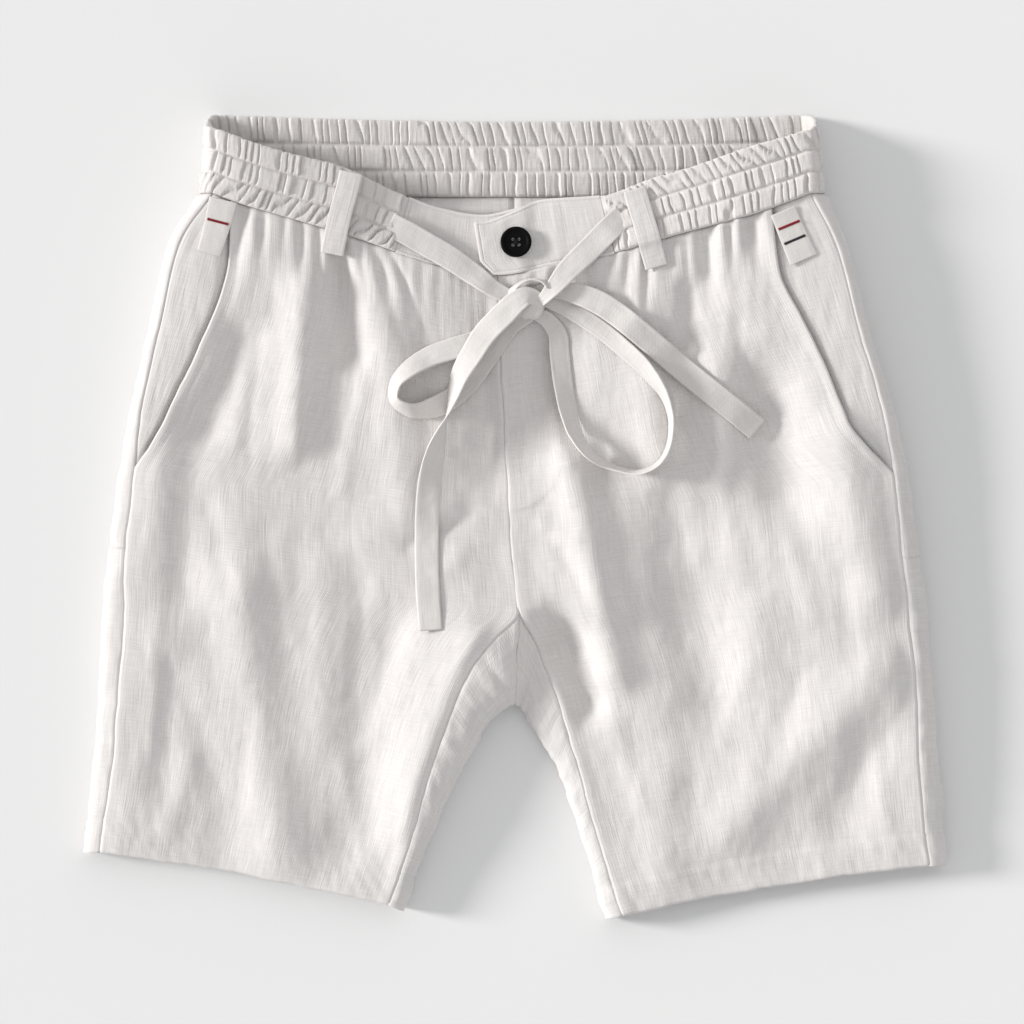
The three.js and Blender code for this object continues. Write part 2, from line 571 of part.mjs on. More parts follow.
// The flat tie; roll 0 lies flat and 90 stands on its edge. lift is the space below it.
const RIBBON = ['x', 'y', 'lift', 'roll', 'width'];

function addRibbon(name, rows, count) {
  const track = rowsOf(RIBBON, rows);
  const pick = (t, key) => curve(steps(track.length - 1), track.map((r) => r[key]))(t);
  const flat = new THREE.CatmullRomCurve3(track.map((r) => vec(r.x, r.y, 0)), false, 'centripetal');
  const stations = steps(count).map((t) => {
    const point = flat.getPoint(t);
    const tangent = flat.getTangent(t);
    const roll = THREE.MathUtils.degToRad(pick(t, 'roll'));
    const sideways = vec(-tangent.y, tangent.x, 0).normalize();
    const half = pick(t, 'width') / 2;
    const spread = Math.abs(half * Math.cos(roll));
    const ground = Math.max(...[-1, -0.5, 0, 0.5, 1].map((s) => {
      const p = point.clone().addScaledVector(sideways, s * spread);
      return topAt(p.x, p.y);
    }));
    const z = ground + pick(t, 'lift') + Math.abs(half * Math.sin(roll)) + TIE_WALL / 2;
    return { point: point.setZ(z), roll, half };
  });
  const line = new THREE.CatmullRomCurve3(stations.map((s) => s.point), false, 'centripetal');
  const grid = stations.map(({ point, roll, half }, k) => {
    const tangent = line.getTangent(k / count);
    const sideways = vec(-tangent.y, tangent.x, 0).normalize();
    const up = tangent.clone().cross(sideways).normalize();
    const across = sideways.multiplyScalar(Math.cos(roll)).addScaledVector(up, Math.sin(roll));
    return [-half, half].map((off) => point.clone().addScaledVector(across, off));
  });
  sheet(name, grid, { outward: 1, wall: TIE_WALL, look: TAPE, gap: 0 });
}

function addKnot(centre) {
  const body = new THREE.SphereGeometry(1, 16, 10);
  const place = body.attributes.position;
  const points = [];
  const seen = new Map();
  const index = [];
  for (let k = 0; k < place.count; k += 1) {
    const p = vec(place.getX(k), place.getY(k), place.getZ(k));
    const name = p.toArray().map((v) => v.toFixed(4)).join();
    if (!seen.has(name)) {
      // wider than high, pinched where the tape passes over it
      const pinch = 1 - 0.16 * Math.exp(-((p.x / 0.3) ** 2));
      seen.set(name, points.push(vec(
        centre.x + p.x * 9.4 - p.y * 2,
        centre.y + p.y * 7.4 * pinch + p.x * 2,
        centre.z + p.z * 5.2 * pinch,
      )) - 1);
    }
    index.push(seen.get(name));
  }
  const faces = [];
  const order = body.index.array;
  for (let k = 0; k < order.length; k += 3) {
    const face = [index[order[k]], index[order[k + 1]], index[order[k + 2]]];
    if (new Set(face).size === 3) faces.push(face);
  }
  addSolid('tie_knot', TAPE, points, faces);
}

function addButton(x, y) {
  const { radius, wall, bevel, hole, spread } = BUTTON;
  const ring = (count, size, x0, y0) => steps(count - 1).map((_, k) => new THREE.Vector2(
    x0 + size * Math.cos((2 * Math.PI * k) / count), y0 + size * Math.sin((2 * Math.PI * k) / count)));
  const disc = new THREE.Shape(ring(36, radius - bevel, 0, 0));
  for (let k = 0; k < 4; k += 1) {
    const angle = (k + 0.5) * (Math.PI / 2);
    const [x0, y0] = [spread * Math.cos(angle), spread * Math.sin(angle)];
    disc.holes.push(new THREE.Path(ring(8, hole, x0, y0)));
  }
  const solid = new THREE.ExtrudeGeometry(disc, {
    depth: wall - 2 * bevel, bevelThickness: bevel, bevelSize: bevel, bevelSegments: 1,
  });
  solid.deleteAttribute('normal');
  solid.deleteAttribute('uv');
  const merged = mergeVertices(solid, 1e-4);
  // lies on the tab, tilted as the tab is
  const down = (bandTop(x).y - y) / (bandTop(x).y - bandFoot(x).y);
  const under = bandPoint(x, x, down);
  const east = bandPoint(x + 4, x + 4, down).add(vec(0, 0, tabRaise(x + 4) - tabRaise(x)));
  const south = bandPoint(x, x, down + 0.1);
  const normal = south.sub(under).cross(east.sub(under)).normalize();
  const foot = under.setZ(under.z + tabRaise(x)).addScaledVector(normal, BAND / 2 + LIFT + bevel);
  const turn = new THREE.Quaternion().setFromUnitVectors(UP, normal);
  const place = merged.attributes.position;
  const points = Array.from({ length: place.count }, (_, k) => new THREE.Vector3()
    .fromBufferAttribute(place, k).applyQuaternion(turn).add(foot));
  const order = [...merged.index.array];
  const faces = steps(order.length / 3 - 1).map((_, k) => order.slice(k * 3, k * 3 + 3));
  addSolid('button', BLACK, points, faces);
}

// Build
addFront('front_left', LEFT);
addFront('front_right', RIGHT);
addFacing('side_pocket_left', LEFT);
addFacing('side_pocket_right', RIGHT);
addBack('back_left', LEFT);
addBack('back_right', RIGHT);
addBandHalf('waistband_left', LEFT);
addBandHalf('waistband_right', RIGHT);
const backLength = backBandPoint(1, 0.5).x - backBandPoint(0, 0.5).x;
ribbedBand('waistband_back', Math.round(backLength / RIB_PITCH), backBandPoint, { outward: -1 });
addPlainBand();

addStrap('belt_loop_left', [[-104, 219, 0.5, 14.5], [-107, 206, 1, 14.5], [-110.5, 193, 1, 14.5],
  [-113.5, 180, 1, 14.5], [-116.2, 167, 0.5, 14.5]], LINEN, 1.1);
addStrap('belt_loop_right', [[76.4, 208.5, 0.5, 14.5], [80, 196, 1, 14.5], [83.6, 183.5, 1, 14.5],
  [87, 171, 1, 14.5], [90.5, 158.8, 0.6, 14.5]], LINEN, 1.1);
addStrap('side_tab_left', [[-185.6, 200.2, 0.4, 17], [-190, 184, 0.4, 16], [-194.8, 168, 0.4, 15]],
  TAPE, 1);
addStrap('side_tab_right', [[170.6, 194.4, 0.4, 16.5], [177, 179, 0.4, 17.5], [183.8, 163.2, 0.4, 18.5]],
  TAPE, 1);
addButton(1, 175);

addRibbon('tie_left_lead', [[-72, 182.2, 0.6, 0, 15.5], [-57, 174, 0.8, 0, 15.5],
  [-41.7, 165.3, 0.8, -4, 15.5], [-26, 154.5, 0.9, -14, 14.5], [-14, 145.6, 1.6, -24, 11],
  [-5.6, 140, 2.6, -20, 9]], 16);
addRibbon('tie_right_lead', [[62, 184.6, -0.3, 0, 15.5], [48.5, 171.2, 0.5, 4, 15.5],
  [35.4, 158.2, 2.6, 10, 15], [26.5, 147.5, 5.4, 14, 12.5], [18.6, 139, 6, 10, 8.5]], 14);
addRibbon('tie_left_loop', [[-6.2, 126.4, 2.4, 8, 9], [-24.7, 112.4, 1, 16, 13.5],
  [-39, 107.2, 0.8, 22, 15], [-53.4, 102, 0.8, 28, 15], [-66.5, 94, 0.8, 42, 15],
  [-75.6, 83.7, 0.8, 62, 14.5], [-76.3, 73.9, 0.8, 70, 14.5], [-66.5, 68, 0.8, 60, 14.5],
  [-55, 68.6, 0.8, 34, 14.5], [-45, 72.4, 0.6, 8, 14], [-33.8, 80.6, 0.5, 2, 13],
  [-23.4, 92, 0.5, 2, 12], [-12.9, 105.9, 0.5, 0, 11], [-2.4, 120.6, 0.6, 0, 9]], 34);
addRibbon('tie_left_tail', [[-3.6, 129.2, 6.4, -6, 12], [-18.8, 116.4, 6.2, -10, 15],
  [-26.4, 104.6, 5.6, -20, 15.5], [-33.8, 91.5, 4, -40, 15.5], [-38.6, 78, 3, -62, 15.5],
  [-43.6, 63, 2.4, -66, 15.5], [-50, 42.6, 0.8, -44, 15.5], [-54.7, 17, 0.6, -14, 15.5],
  [-56, -15, 0.6, 0, 15.5], [-55.4, -47, 0.6, 0, 15.5], [-53.4, -72.6, 0.6, 0, 15]], 32);
addRibbon('tie_right_loop', [[20.4, 127, 0.6, 0, 9.5], [27.5, 116.4, 0.4, -4, 12.5],
  [28.9, 104.6, 0.4, -8, 13], [30.2, 91.5, 0.4, -14, 13], [32.1, 78.5, 0.4, -22, 13],
  [35, 64.1, 0.4, -36, 13], [39.4, 51, 0.4, -50, 13], [48, 39.5, 0.4, -62, 13], [63.7, 31, 0.4, -74, 13],
  [78.4, 28.2, 0.4, -78, 13], [90.6, 32.8, 0.4, -80, 12.5], [98, 44.5, 0.4, -80, 12.5],
  [99.8, 60.5, 0.4, -80, 12.5], [95, 77.1, 0.4, -76, 12.5], [84, 92.8, 0.4, -58, 12.5],
  [68, 107.8, 0.4, -34, 12.5], [55, 118.6, 0.4, -16, 12.5], [41.9, 128, 0.4, -6, 12],
  [29, 134.6, 0.6, 0, 9.5]], 44);
addRibbon('tie_right_tail', [[27.4, 144.2, 3, 0, 9.5], [36, 142.6, 3, -4, 12], [46, 139.6, 3, -6, 14.5],
  [58, 133.6, 3, -6, 15.5], [77.2, 119, 2.8, -4, 15.5], [96.8, 102.6, 1.6, -2, 15.5],
  [118.7, 84.6, 0.8, 0, 15.5], [141.1, 66.9, 0.6, 0, 15.5], [155.2, 55.4, 0.6, 0, 15.5]], 26);
addKnot(vec(7.4, 135.4, topAt(7.4, 135.4) + 5.3));

// Centre the parts on the frame
const box = new THREE.Box3().setFromObject(group);
const [midX, midY] = [(box.min.x + box.max.x) / 2, (box.min.y + box.max.y) / 2];
group.children.forEach((mesh) => mesh.geometry.translate(-midX, -midY, 0));

export default group;
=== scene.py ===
import math

import bmesh
import bpy
import numpy as np
from mathutils import Matrix, Vector


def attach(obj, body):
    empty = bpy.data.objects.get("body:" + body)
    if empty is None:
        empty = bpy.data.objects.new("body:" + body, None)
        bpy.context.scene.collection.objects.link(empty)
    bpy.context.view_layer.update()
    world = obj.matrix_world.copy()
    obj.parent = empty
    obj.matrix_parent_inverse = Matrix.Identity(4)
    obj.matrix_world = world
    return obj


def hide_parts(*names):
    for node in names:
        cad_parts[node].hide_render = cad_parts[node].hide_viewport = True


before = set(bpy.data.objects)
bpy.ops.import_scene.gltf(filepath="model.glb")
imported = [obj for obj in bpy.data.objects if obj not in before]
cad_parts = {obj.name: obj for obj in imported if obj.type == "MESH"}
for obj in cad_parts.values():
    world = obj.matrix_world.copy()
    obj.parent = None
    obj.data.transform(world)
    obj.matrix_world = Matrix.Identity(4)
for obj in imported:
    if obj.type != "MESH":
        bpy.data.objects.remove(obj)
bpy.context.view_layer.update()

MM = 0.001
CENTRING = np.array([-0.2965, 1.6563, 0.0])  # the part is centred on its frame
CLOTH = 1.2  # wall of the panels in the part
WALL = 1.0  # wall of the cloth here
BAND = 2.4  # wall of the waistband
RIB = 2.3  # height of the waistband's gathers
RIB_PITCH = 6.8
BAND_WIDTH = 50.0
LIFT = 0.3  # gap between a layer and what lies on it
FLOOR_TURN = 10  # how far a folded side turns in under itself
SEAM = 0.36  # gap between neighbouring pieces
FLY_WIDTH = 36
FLY_BEND = 38  # y where the fly's stitch line starts to curve in
FLY_STEP = 0.7
HEM_DEPTH = 21
CREASE_DEPTH = 1.4  # factors on the heights in the tables below
GATHER_DEPTH = 1.25
TAPE_WALL = 1.0
LEFT, RIGHT = -1, 1


# ---------------------------------------------------------------- numbers
def mix(a, b, t):
    return a + (b - a) * t


def smooth(t):
    t = np.clip(t, 0, 1)
    return t * t * (3 - 2 * t)


def bump(distance, width):
    return np.exp(-((distance / width) ** 2))


def curve(xs, ys):
    """A smooth curve through the points (xs, ys) that doesn't swing past them."""
    xs, ys = np.asarray(xs, float), np.asarray(ys, float)
    slope = np.diff(ys) / np.diff(xs)
    before, after = slope[:-1], slope[1:]
    total = np.where(before + after == 0, 1, before + after)
    middle = np.where(before * after <= 0, 0, 2 * before * after / total)
    tangent = np.concatenate([slope[:1], middle, slope[-1:]])

    def at(x):
        x = np.asarray(x, float)
        k = np.searchsorted(xs[1:-1], x)
        width = xs[k + 1] - xs[k]
        t = np.clip((x - xs[k]) / width, 0, 1)
        rest = 1 - t
        return (ys[k] * rest * rest * (1 + 2 * t) + ys[k + 1] * t * t * (3 - 2 * t)
                + width * t * rest * (tangent[k] * rest - tangent[k + 1] * t))

    return at


def curves_of(names, rows):
    columns = np.array(rows, float).T
    return {name: curve(columns[0], column) for name, column in zip(names[1:], columns[1:])}


def noise(x, y, seed):
    """Seeded smooth unevenness, about -1 to 1, with one bump in each unit of x and y."""
    x, y = np.broadcast_arrays(np.asarray(x, float), np.asarray(y, float))
    draw = np.random.default_rng(seed)
    angle = draw.uniform(0, 2 * math.pi, 256)
    order = draw.permutation(256)
    x0, y0 = np.floor(x).astype(int), np.floor(y).astype(int)
    fx, fy = x - x0, y - y0

    def corner(i, j):
        a = angle[order[(x0 + i + order[(y0 + j) & 255]) & 255]]
        return np.cos(a) * (fx - i) + np.sin(a) * (fy - j)

    ux, uy = (t ** 3 * (t * (6 * t - 15) + 10) for t in (fx, fy))
    return 1.6 * mix(mix(corner(0, 0), corner(1, 0), ux), mix(corner(0, 1), corner(1, 1), ux), uy)


def lengths_along(points, axis=0):
    """Distance walked from the start of each line of points."""
    step = np.linalg.norm(np.diff(points, axis=axis), axis=-1)
    zero = np.zeros_like(np.take(step, [0], axis=axis))
    return np.concatenate([zero, np.cumsum(step, axis=axis)], axis=axis)


# ---------------------------------------------------------------- sizes of the garment
# Each half from the waist seam (level 0) past the crotch (level 5) to the hem (level 12)
LEVELS = ["level", "outer", "sideX", "sideY", "innerX", "innerY", "foldX", "foldY",
          "topSide", "topMid", "topInner"]
HALF = {
    LEFT: curves_of(LEVELS, [
        [0, -203.0, -192.0, 205.0, -10.6, 153.6, 0, 205.0, 31, 26, 19],
        [1, -221.8, -213.4, 173.8, -9.3, 124.5, 0, 170.6, 31, 25, 19],
        [2, -234.6, -226.4, 120.6, -7.4, 74.6, 0, 109.8, 28, 22, 17.5],
        [3, -247.4, -239.0, 62.4, -4.2, 24.6, 0, 42.6, 26, 19, 16],
        [4, -256.3, -244.8, 10.6, -1.6, -25.3, 0, -40.6, 24, 17, 18],
        [5, -260.2, -248.6, -21.4, 2.9, -60.5, -0.3, -118.7, 23, 16, 23],
        [6, -262.1, -249.3, -39.4, -13.1, -77.8, -4.2, -121.3, 23, 14.5, 26.5],
        [7, -264.6, -249.3, -63.0, -29.1, -100.2, -14.4, -129.0, 22, 13, 27],
        [8, -265.9, -251.2, -88.6, -40.6, -125.1, -24.6, -146.9, 22, 12.5, 26.5],
        [9, -267.2, -254.4, -120.6, -49.6, -151.4, -38.1, -169.9, 21, 12, 25.5],
        [10, -269.8, -256.3, -152.6, -59.2, -181.4, -49.5, -195.5, 20, 12, 24],
        [11, -273.0, -260.8, -184.6, -69.2, -216.6, -60.6, -221.1, 19, 12.5, 20],
        [12, -276.2, -265.9, -215.4, -80.3, -249.3, -71.4, -253.1, 17, 12, 16],
    ]),
    RIGHT: curves_of(LEVELS, [
        [0, 200.5, 188.5, 205.0, -10.6, 153.6, 0, 205.0, 31, 25, 19],
        [1, 213.4, 205.0, 172.5, -9.3, 124.5, 0, 170.6, 31, 24, 19],
        [2, 227.5, 219.3, 119.4, -7.4, 74.6, 0, 109.8, 30, 22, 17.5],
        [3, 246.1, 236.5, 58.6, -4.2, 24.6, 0, 42.6, 27, 19, 16],
        [4, 255.7, 244.2, 7.4, -1.6, -25.3, 0, -40.6, 25, 19, 18],
        [5, 260.2, 247.4, -26.6, 2.9, -60.5, -0.3, -118.7, 24, 19, 23],
        [6, 262.7, 249.9, -47.0, 13.8, -82.2, 3.5, -122.6, 24, 20.5, 13],
        [7, 265.3, 251.8, -67.5, 22.1, -103.4, 9.9, -132.8, 23, 20.5, 12],
        [8, 267.2, 255.0, -95.0, 31.0, -127.7, 20.8, -148.2, 23, 19.5, 12.5],
        [9, 269.8, 257.0, -127.0, 39.4, -155.8, 31.7, -171.8, 22, 17, 13],
        [10, 273.0, 258.9, -159.0, 48.3, -189.1, 40.6, -197.8, 21, 14, 15],
        [11, 275.5, 261.4, -191.0, 57.9, -221.1, 50.2, -227.5, 19, 13, 15],
        [12, 276.8, 265.9, -223.7, 69.4, -256.0, 59.0, -258.6, 17, 12, 15],
    ]),
}
CROTCH = 5
HEM_LEVEL = 12
LEVEL_AT = curve([0, 0.07, 0.2, 0.34, 0.46, 0.535, 0.58, 0.64, 0.7, 0.775, 0.85, 0.926, 1],
                 range(13))

# Front edges of the open waistband: the folded top edge and the seam to the panels
BAND_TOP = curves_of(["x", "y", "z"], [
    [-188, 246.5, 28], [-170, 239.7, 28.5], [-147.5, 232.6, 27.5], [-111.7, 223.7, 24],
    [-75, 207, 19], [-47.7, 196.8, 16], [-20, 192.5, 15], [0, 196.5, 15], [19.5, 202.5, 16],
    [55.4, 204.8, 18], [84.8, 214.7, 21], [113, 223, 24], [148.8, 235.2, 28], [176, 243, 29],
    [186, 246.5, 29],
])
BAND_FOOT = curves_of(["x", "y", "z"], [
    [-192, 205.4, 31], [-176.3, 199.4, 32], [-147.5, 191, 30], [-105.9, 178.9, 27],
    [-75.2, 168.6, 24], [-43.2, 159, 20.5], [-10.6, 154.6, 19], [29.1, 161.6, 20],
    [55.4, 166.1, 22], [106.6, 180.2, 27], [156.5, 193.6, 31], [188.5, 205.4, 31],
])
BAND_HALF = {
    LEFT: dict(plainTop=-67.5, plainFoot=-76, sideTop=-188, sideFoot=-192, outerTop=-196.2,
               outerFoot=-200.2),
    RIGHT: dict(plainTop=54.5, plainFoot=64, sideTop=184, sideFoot=188.5, outerTop=192.2,
                outerFoot=197),
}
BACK_BAND = dict(top=258.2, sag=4.2, foot=205.4)

# Folds: a soft ridge (trough where the height is below 0) from one point to another
# x1, y1, x2, y2, width, height
FOLDS = {
    LEFT: [
        (-132, 156, -140, 40, 13, 8.0), (-109, 170, -104, 96, 9, -6.4),
        (-172, 122, -198, 48, 12, -5.4),
        (-84, 138, -66, -2, 16, 5.4), (-17, 104, -14, 16, 15, -3.2),
        (-50, 92, -46, 20, 14, 2.8), (-176, -30, -150, -230, 20, 7.4),
        (-76, -62, -104, -222, 20, -8.4), (-20, -72, -66, -208, 13, 4.4),
        (-205, 70, -213, -60, 12, -3.6),
        (-218, -90, -226, -180, 12, -3.2), (-122, -20, -128, -150, 15, 2.8),
        (-16, 146, -12, 106, 15, -3.0),
    ],
    RIGHT: [
        (34, 44, 66, -110, 14, 9.0), (24, -62, 52, -128, 13, -9.0),
        (108, 8, 130, -142, 24, -8.6), (158, -50, 150, -110, 18, 1.8),
        (240, -90, 124, -214, 19, 6.6), (206, 66, 232, -64, 16, 5.6), (160, 98, 176, -4, 20, -8.6),
        (112, 151, 110, 100, 8, -4.6), (132, 108, 134, 20, 14, 4.0), (80, 138, 92, 20, 12, 4.4),
        (238, -130, 204, -206, 14, -4.0), (22, 122, 26, 62, 15, -7.0),
        (92, -156, 100, -236, 16, 3.6),
    ],
}
# Smaller creases that only the cloth here has
CREASES = {
    LEFT: [
        (-160, 120, -172, 40, 5, -0.9), (-127, 120, -136, 30, 5, -0.8), (-96, 90, -112, 12, 6, 0.9),
        (-60, 120, -52, 50, 6, -0.9), (-30, 108, -22, 60, 5, 0.7), (-196, 12, -182, -52, 7, -1.0),
        (-150, -10, -140, -84, 7, 0.9), (-96, -40, -104, -120, 7, -0.9),
        (-58, -62, -92, -150, 9, 1.3),
        (-210, -110, -190, -180, 8, -0.9), (-228, -60, -232, -150, 6, 0.7),
        (-112, -150, -96, -226, 8, 0.9), (-30, -20, -60, -52, 6, 0.8), (-24, 5, -72, -22, 5, -0.8),
        (-206, -150, -222, -206, 7, 0.8), (-170, -120, -176, -190, 6, -0.7),
    ],
    RIGHT: [
        (60, 60, 56, 10, 6, -0.8), (110, 40, 118, -34, 7, 0.9), (140, 30, 158, -46, 7, -0.9),
        (170, 8, 190, -66, 8, 0.9), (92, -20, 108, -84, 7, -0.9), (210, -30, 214, -96, 6, -0.7),
        (60, -120, 82, -190, 7, 0.9), (104, -120, 116, -176, 8, -0.9),
        (150, -90, 132, -150, 8, 0.8),
        (184, -96, 162, -170, 7, -0.8), (230, -130, 236, -200, 6, 0.7), (30, -20, 52, -66, 5, -0.9),
        (94, 120, 102, 60, 5, -0.8), (142, 130, 150, 80, 5, -0.7), (20, 80, 34, 30, 5, 0.7),
        (16, -4, 42, -18, 5, 0.8),
    ],
}
# Gathers below the waistband: x on the seam, depth, reach, lean, width
GATHERS = {
    LEFT: [
        (-184.5, 1.1, 30, -0.12, 3.5), (-171.5, 4.6, 92, -0.2, 6), (-159.7, 2.2, 60, -0.06, 4),
        (-147, 1.4, 50, -0.04, 3), (-135.4, 2.4, 46, 0, 3.5), (-125.2, 1.9, 92, 0.02, 3.2),
        (-111.7, 4.6, 84, 0.04, 5.5), (-99.2, 1.7, 48, 0.14, 3), (-89.3, 2.2, 70, 0.3, 4.5),
        (-79.2, 1.5, 60, 0.5, 3.4),
    ],
    RIGHT: [
        (62.4, 1.5, 55, -0.2, 3.4), (73.9, 2.2, 66, -0.12, 4.5), (84.7, 2.8, 84, -0.02, 3.6),
        (98.2, 1.8, 56, 0.04, 4), (108, 1.6, 60, 0.1, 3), (121.8, 5.4, 74, 0.06, 6.5),
        (136.6, 2.2, 60, 0.1, 3.6), (149.7, 4.6, 46, 0.14, 6), (163, 1.2, 34, 0.16, 3),
    ],
}

# Slanted pocket mouths, x over y
MOUTH = {
    LEFT: curve([31, 49.6, 75.8, 105.9, 142.4, 162.2, 200],
                [-242.5, -229.4, -216, -201.9, -186.6, -182.1, -180.2]),
    RIGHT: curve([28, 42, 55.4, 80.3, 105.9, 127.7, 155.8, 195],
                 [241.5, 226, 214.1, 203.8, 193, 182.1, 168.6, 163.5]),
}
MOUTH_END = 3.6
MOUTH_OPEN = 0.9
FACING_UNDER = 9
SIDE_DROP = {LEFT: 3.4, RIGHT: 0.8}


# ---------------------------------------------------------------- the fronts' form
def row_point(side, level, across):
    half = HALF[side]
    x = mix(half["sideX"](level), half["innerX"](level), across)
    bow = 4 * across * (1 - across) * mix(-3, 3, level / HEM_LEVEL)
    y = mix(half["sideY"](level), half["innerY"](level), across) + bow
    at_waist = 1 - smooth(level / 1.2)
    first, last = half["sideX"](0), half["innerX"](0)
    u = np.clip((x - first) / (last - first), 0, 1)
    waist_x = mix(first, last, u)
    drawn = mix(half["sideY"](0), half["innerY"](0), u) - 12 * u * (1 - u)
    y = y + at_waist * (BAND_FOOT["y"](waist_x) - 0.2 - drawn)
    return x, y, at_waist, BAND_FOOT["z"](waist_x)


def fold_height(folds, x, y):
    total = np.zeros(np.broadcast(x, y).shape)
    for x1, y1, x2, y2, width, height in folds:
        dx, dy = x2 - x1, y2 - y1
        length = math.hypot(dx, dy)
        along = ((x - x1) * dx + (y - y1) * dy) / length
        off = ((x - x1) * dy - (y - y1) * dx) / length
        ends = smooth((along + width) / (2 * width)) * smooth((length + width - along) / (2 * width))
        total = total + height * ends * bump(off, width)
    return total


def gather_depth(side, x, below):
    total = np.zeros(np.broadcast(x, below).shape)
    for start, depth, reach, lean, width in GATHERS[side]:
        off = (x - start - lean * below) / width
        total = total + (GATHER_DEPTH * depth * np.exp(-off * off) * mix(0.6, 1, smooth(below / 6))
                         * (1 - smooth(below / reach)))
    return total


def front_point(side, level, across):
    x, y, at_waist, waist_z = row_point(side, level, across)
    half = HALF[side]
    z = np.where(across < 0.5,
                 mix(half["topSide"](level), half["topMid"](level), smooth(2 * across)),
                 mix(half["topMid"](level), half["topInner"](level), smooth(2 * across - 1)))
    z = z - SIDE_DROP[side] * np.exp(-across * row_width(side, level) / 17)
    z = mix(z, waist_z, at_waist)
    below = np.maximum(0, BAND_FOOT["y"](np.clip(x, -192, 188.5)) - y)
    near_seams = smooth(across / 0.05) * smooth((1 - across) / 0.05)
    z = z + near_seams * (fold_height(FOLDS[side], x, y) * smooth(level) - gather_depth(side, x, below))
    return x, y, z, below


def mouth_across(side, level):
    half = HALF[side]
    across = np.full(np.shape(level), 0.15)
    for _ in range(8):
        y = row_point(side, level, across)[1]
        across = np.maximum(0, (MOUTH[side](y) - half["sideX"](level))
                            / (half["innerX"](level) - half["sideX"](level)))
    return across


def row_width(side, level):
    return np.abs(HALF[side]["sideX"](level) - HALF[side]["innerX"](level))


def small_wrinkles(side, x, y, below):
    """What linen does on its own: soft waves, upright streaks, and fine gathers at the waist."""
    seed = 40 if side == LEFT else 60
    lean = 0.12 * y * side
    waves = 1.3 * noise((x + lean) / 36, y / 66, seed) + 0.3 * noise((x + lean) / 14, y / 30, seed + 1)
    crumple = 0.3 * (np.abs(noise(x / 13, y / 18, seed + 2)) - 0.3)
    crumple = crumple - 0.5 * np.clip(np.abs(noise((x + 0.4 * y) / 24, y / 36, seed + 6)), 0, 0.2)
    streaks = 0.15 * noise(x / 4.6, y / 17, seed + 3) + 0.07 * noise(x / 2.6, y / 7, seed + 4)
    gathered = np.exp(-below / 38) * (0.9 * noise(x / 5.6, below / 70, seed + 5))
    return waves + crumple + streaks + gathered * smooth(below / 5 + 0.3)


def unevenly(points):
    """Moves cloth sideways a little, so that no outline is drawn with a ruler."""
    x, y = points[..., 0], points[..., 1]
    hemward = smooth((150 - y) / 60)
    out = points.copy()
    out[..., 0] = x + hemward * (0.7 * noise(x / 60 + 3.1, y / 26, 11) + 0.3 * noise(x / 30, y / 9, 12))
    out[..., 1] = y + hemward * (0.8 * noise(x / 24, y / 60 + 1.7, 13) + 0.3 * noise(x / 8, y / 30, 14))
    return out


# ---------------------------------------------------------------- materials
class Value:
    """A number that varies over a surface. Sums and products of it add the nodes."""

    def __init__(self, look, socket):
        self.look, self.socket = look, socket

    def math(self, operation, *others, clamp=False):
        sockets = dict(enumerate([self, *others]))
        node = self.look.node("ShaderNodeMath", dict(operation=operation, use_clamp=clamp), sockets)
        return Value(self.look, node.outputs[0])

    def __add__(self, other):
        return self.math("ADD", other)

    def __sub__(self, other):
        return self.math("SUBTRACT", other)

    def __mul__(self, other):
        return self.math("MULTIPLY", other)

    def __rsub__(self, other):
        node = self.look.node("ShaderNodeMath", dict(operation="SUBTRACT"), {0: other, 1: self})
        return Value(self.look, node.outputs[0])

    __radd__, __rmul__ = __add__, __mul__

    def sine(self):
        return self.math("SINE")

    def clamped(self):
        return (self * 1).math("ADD", 0, clamp=True)


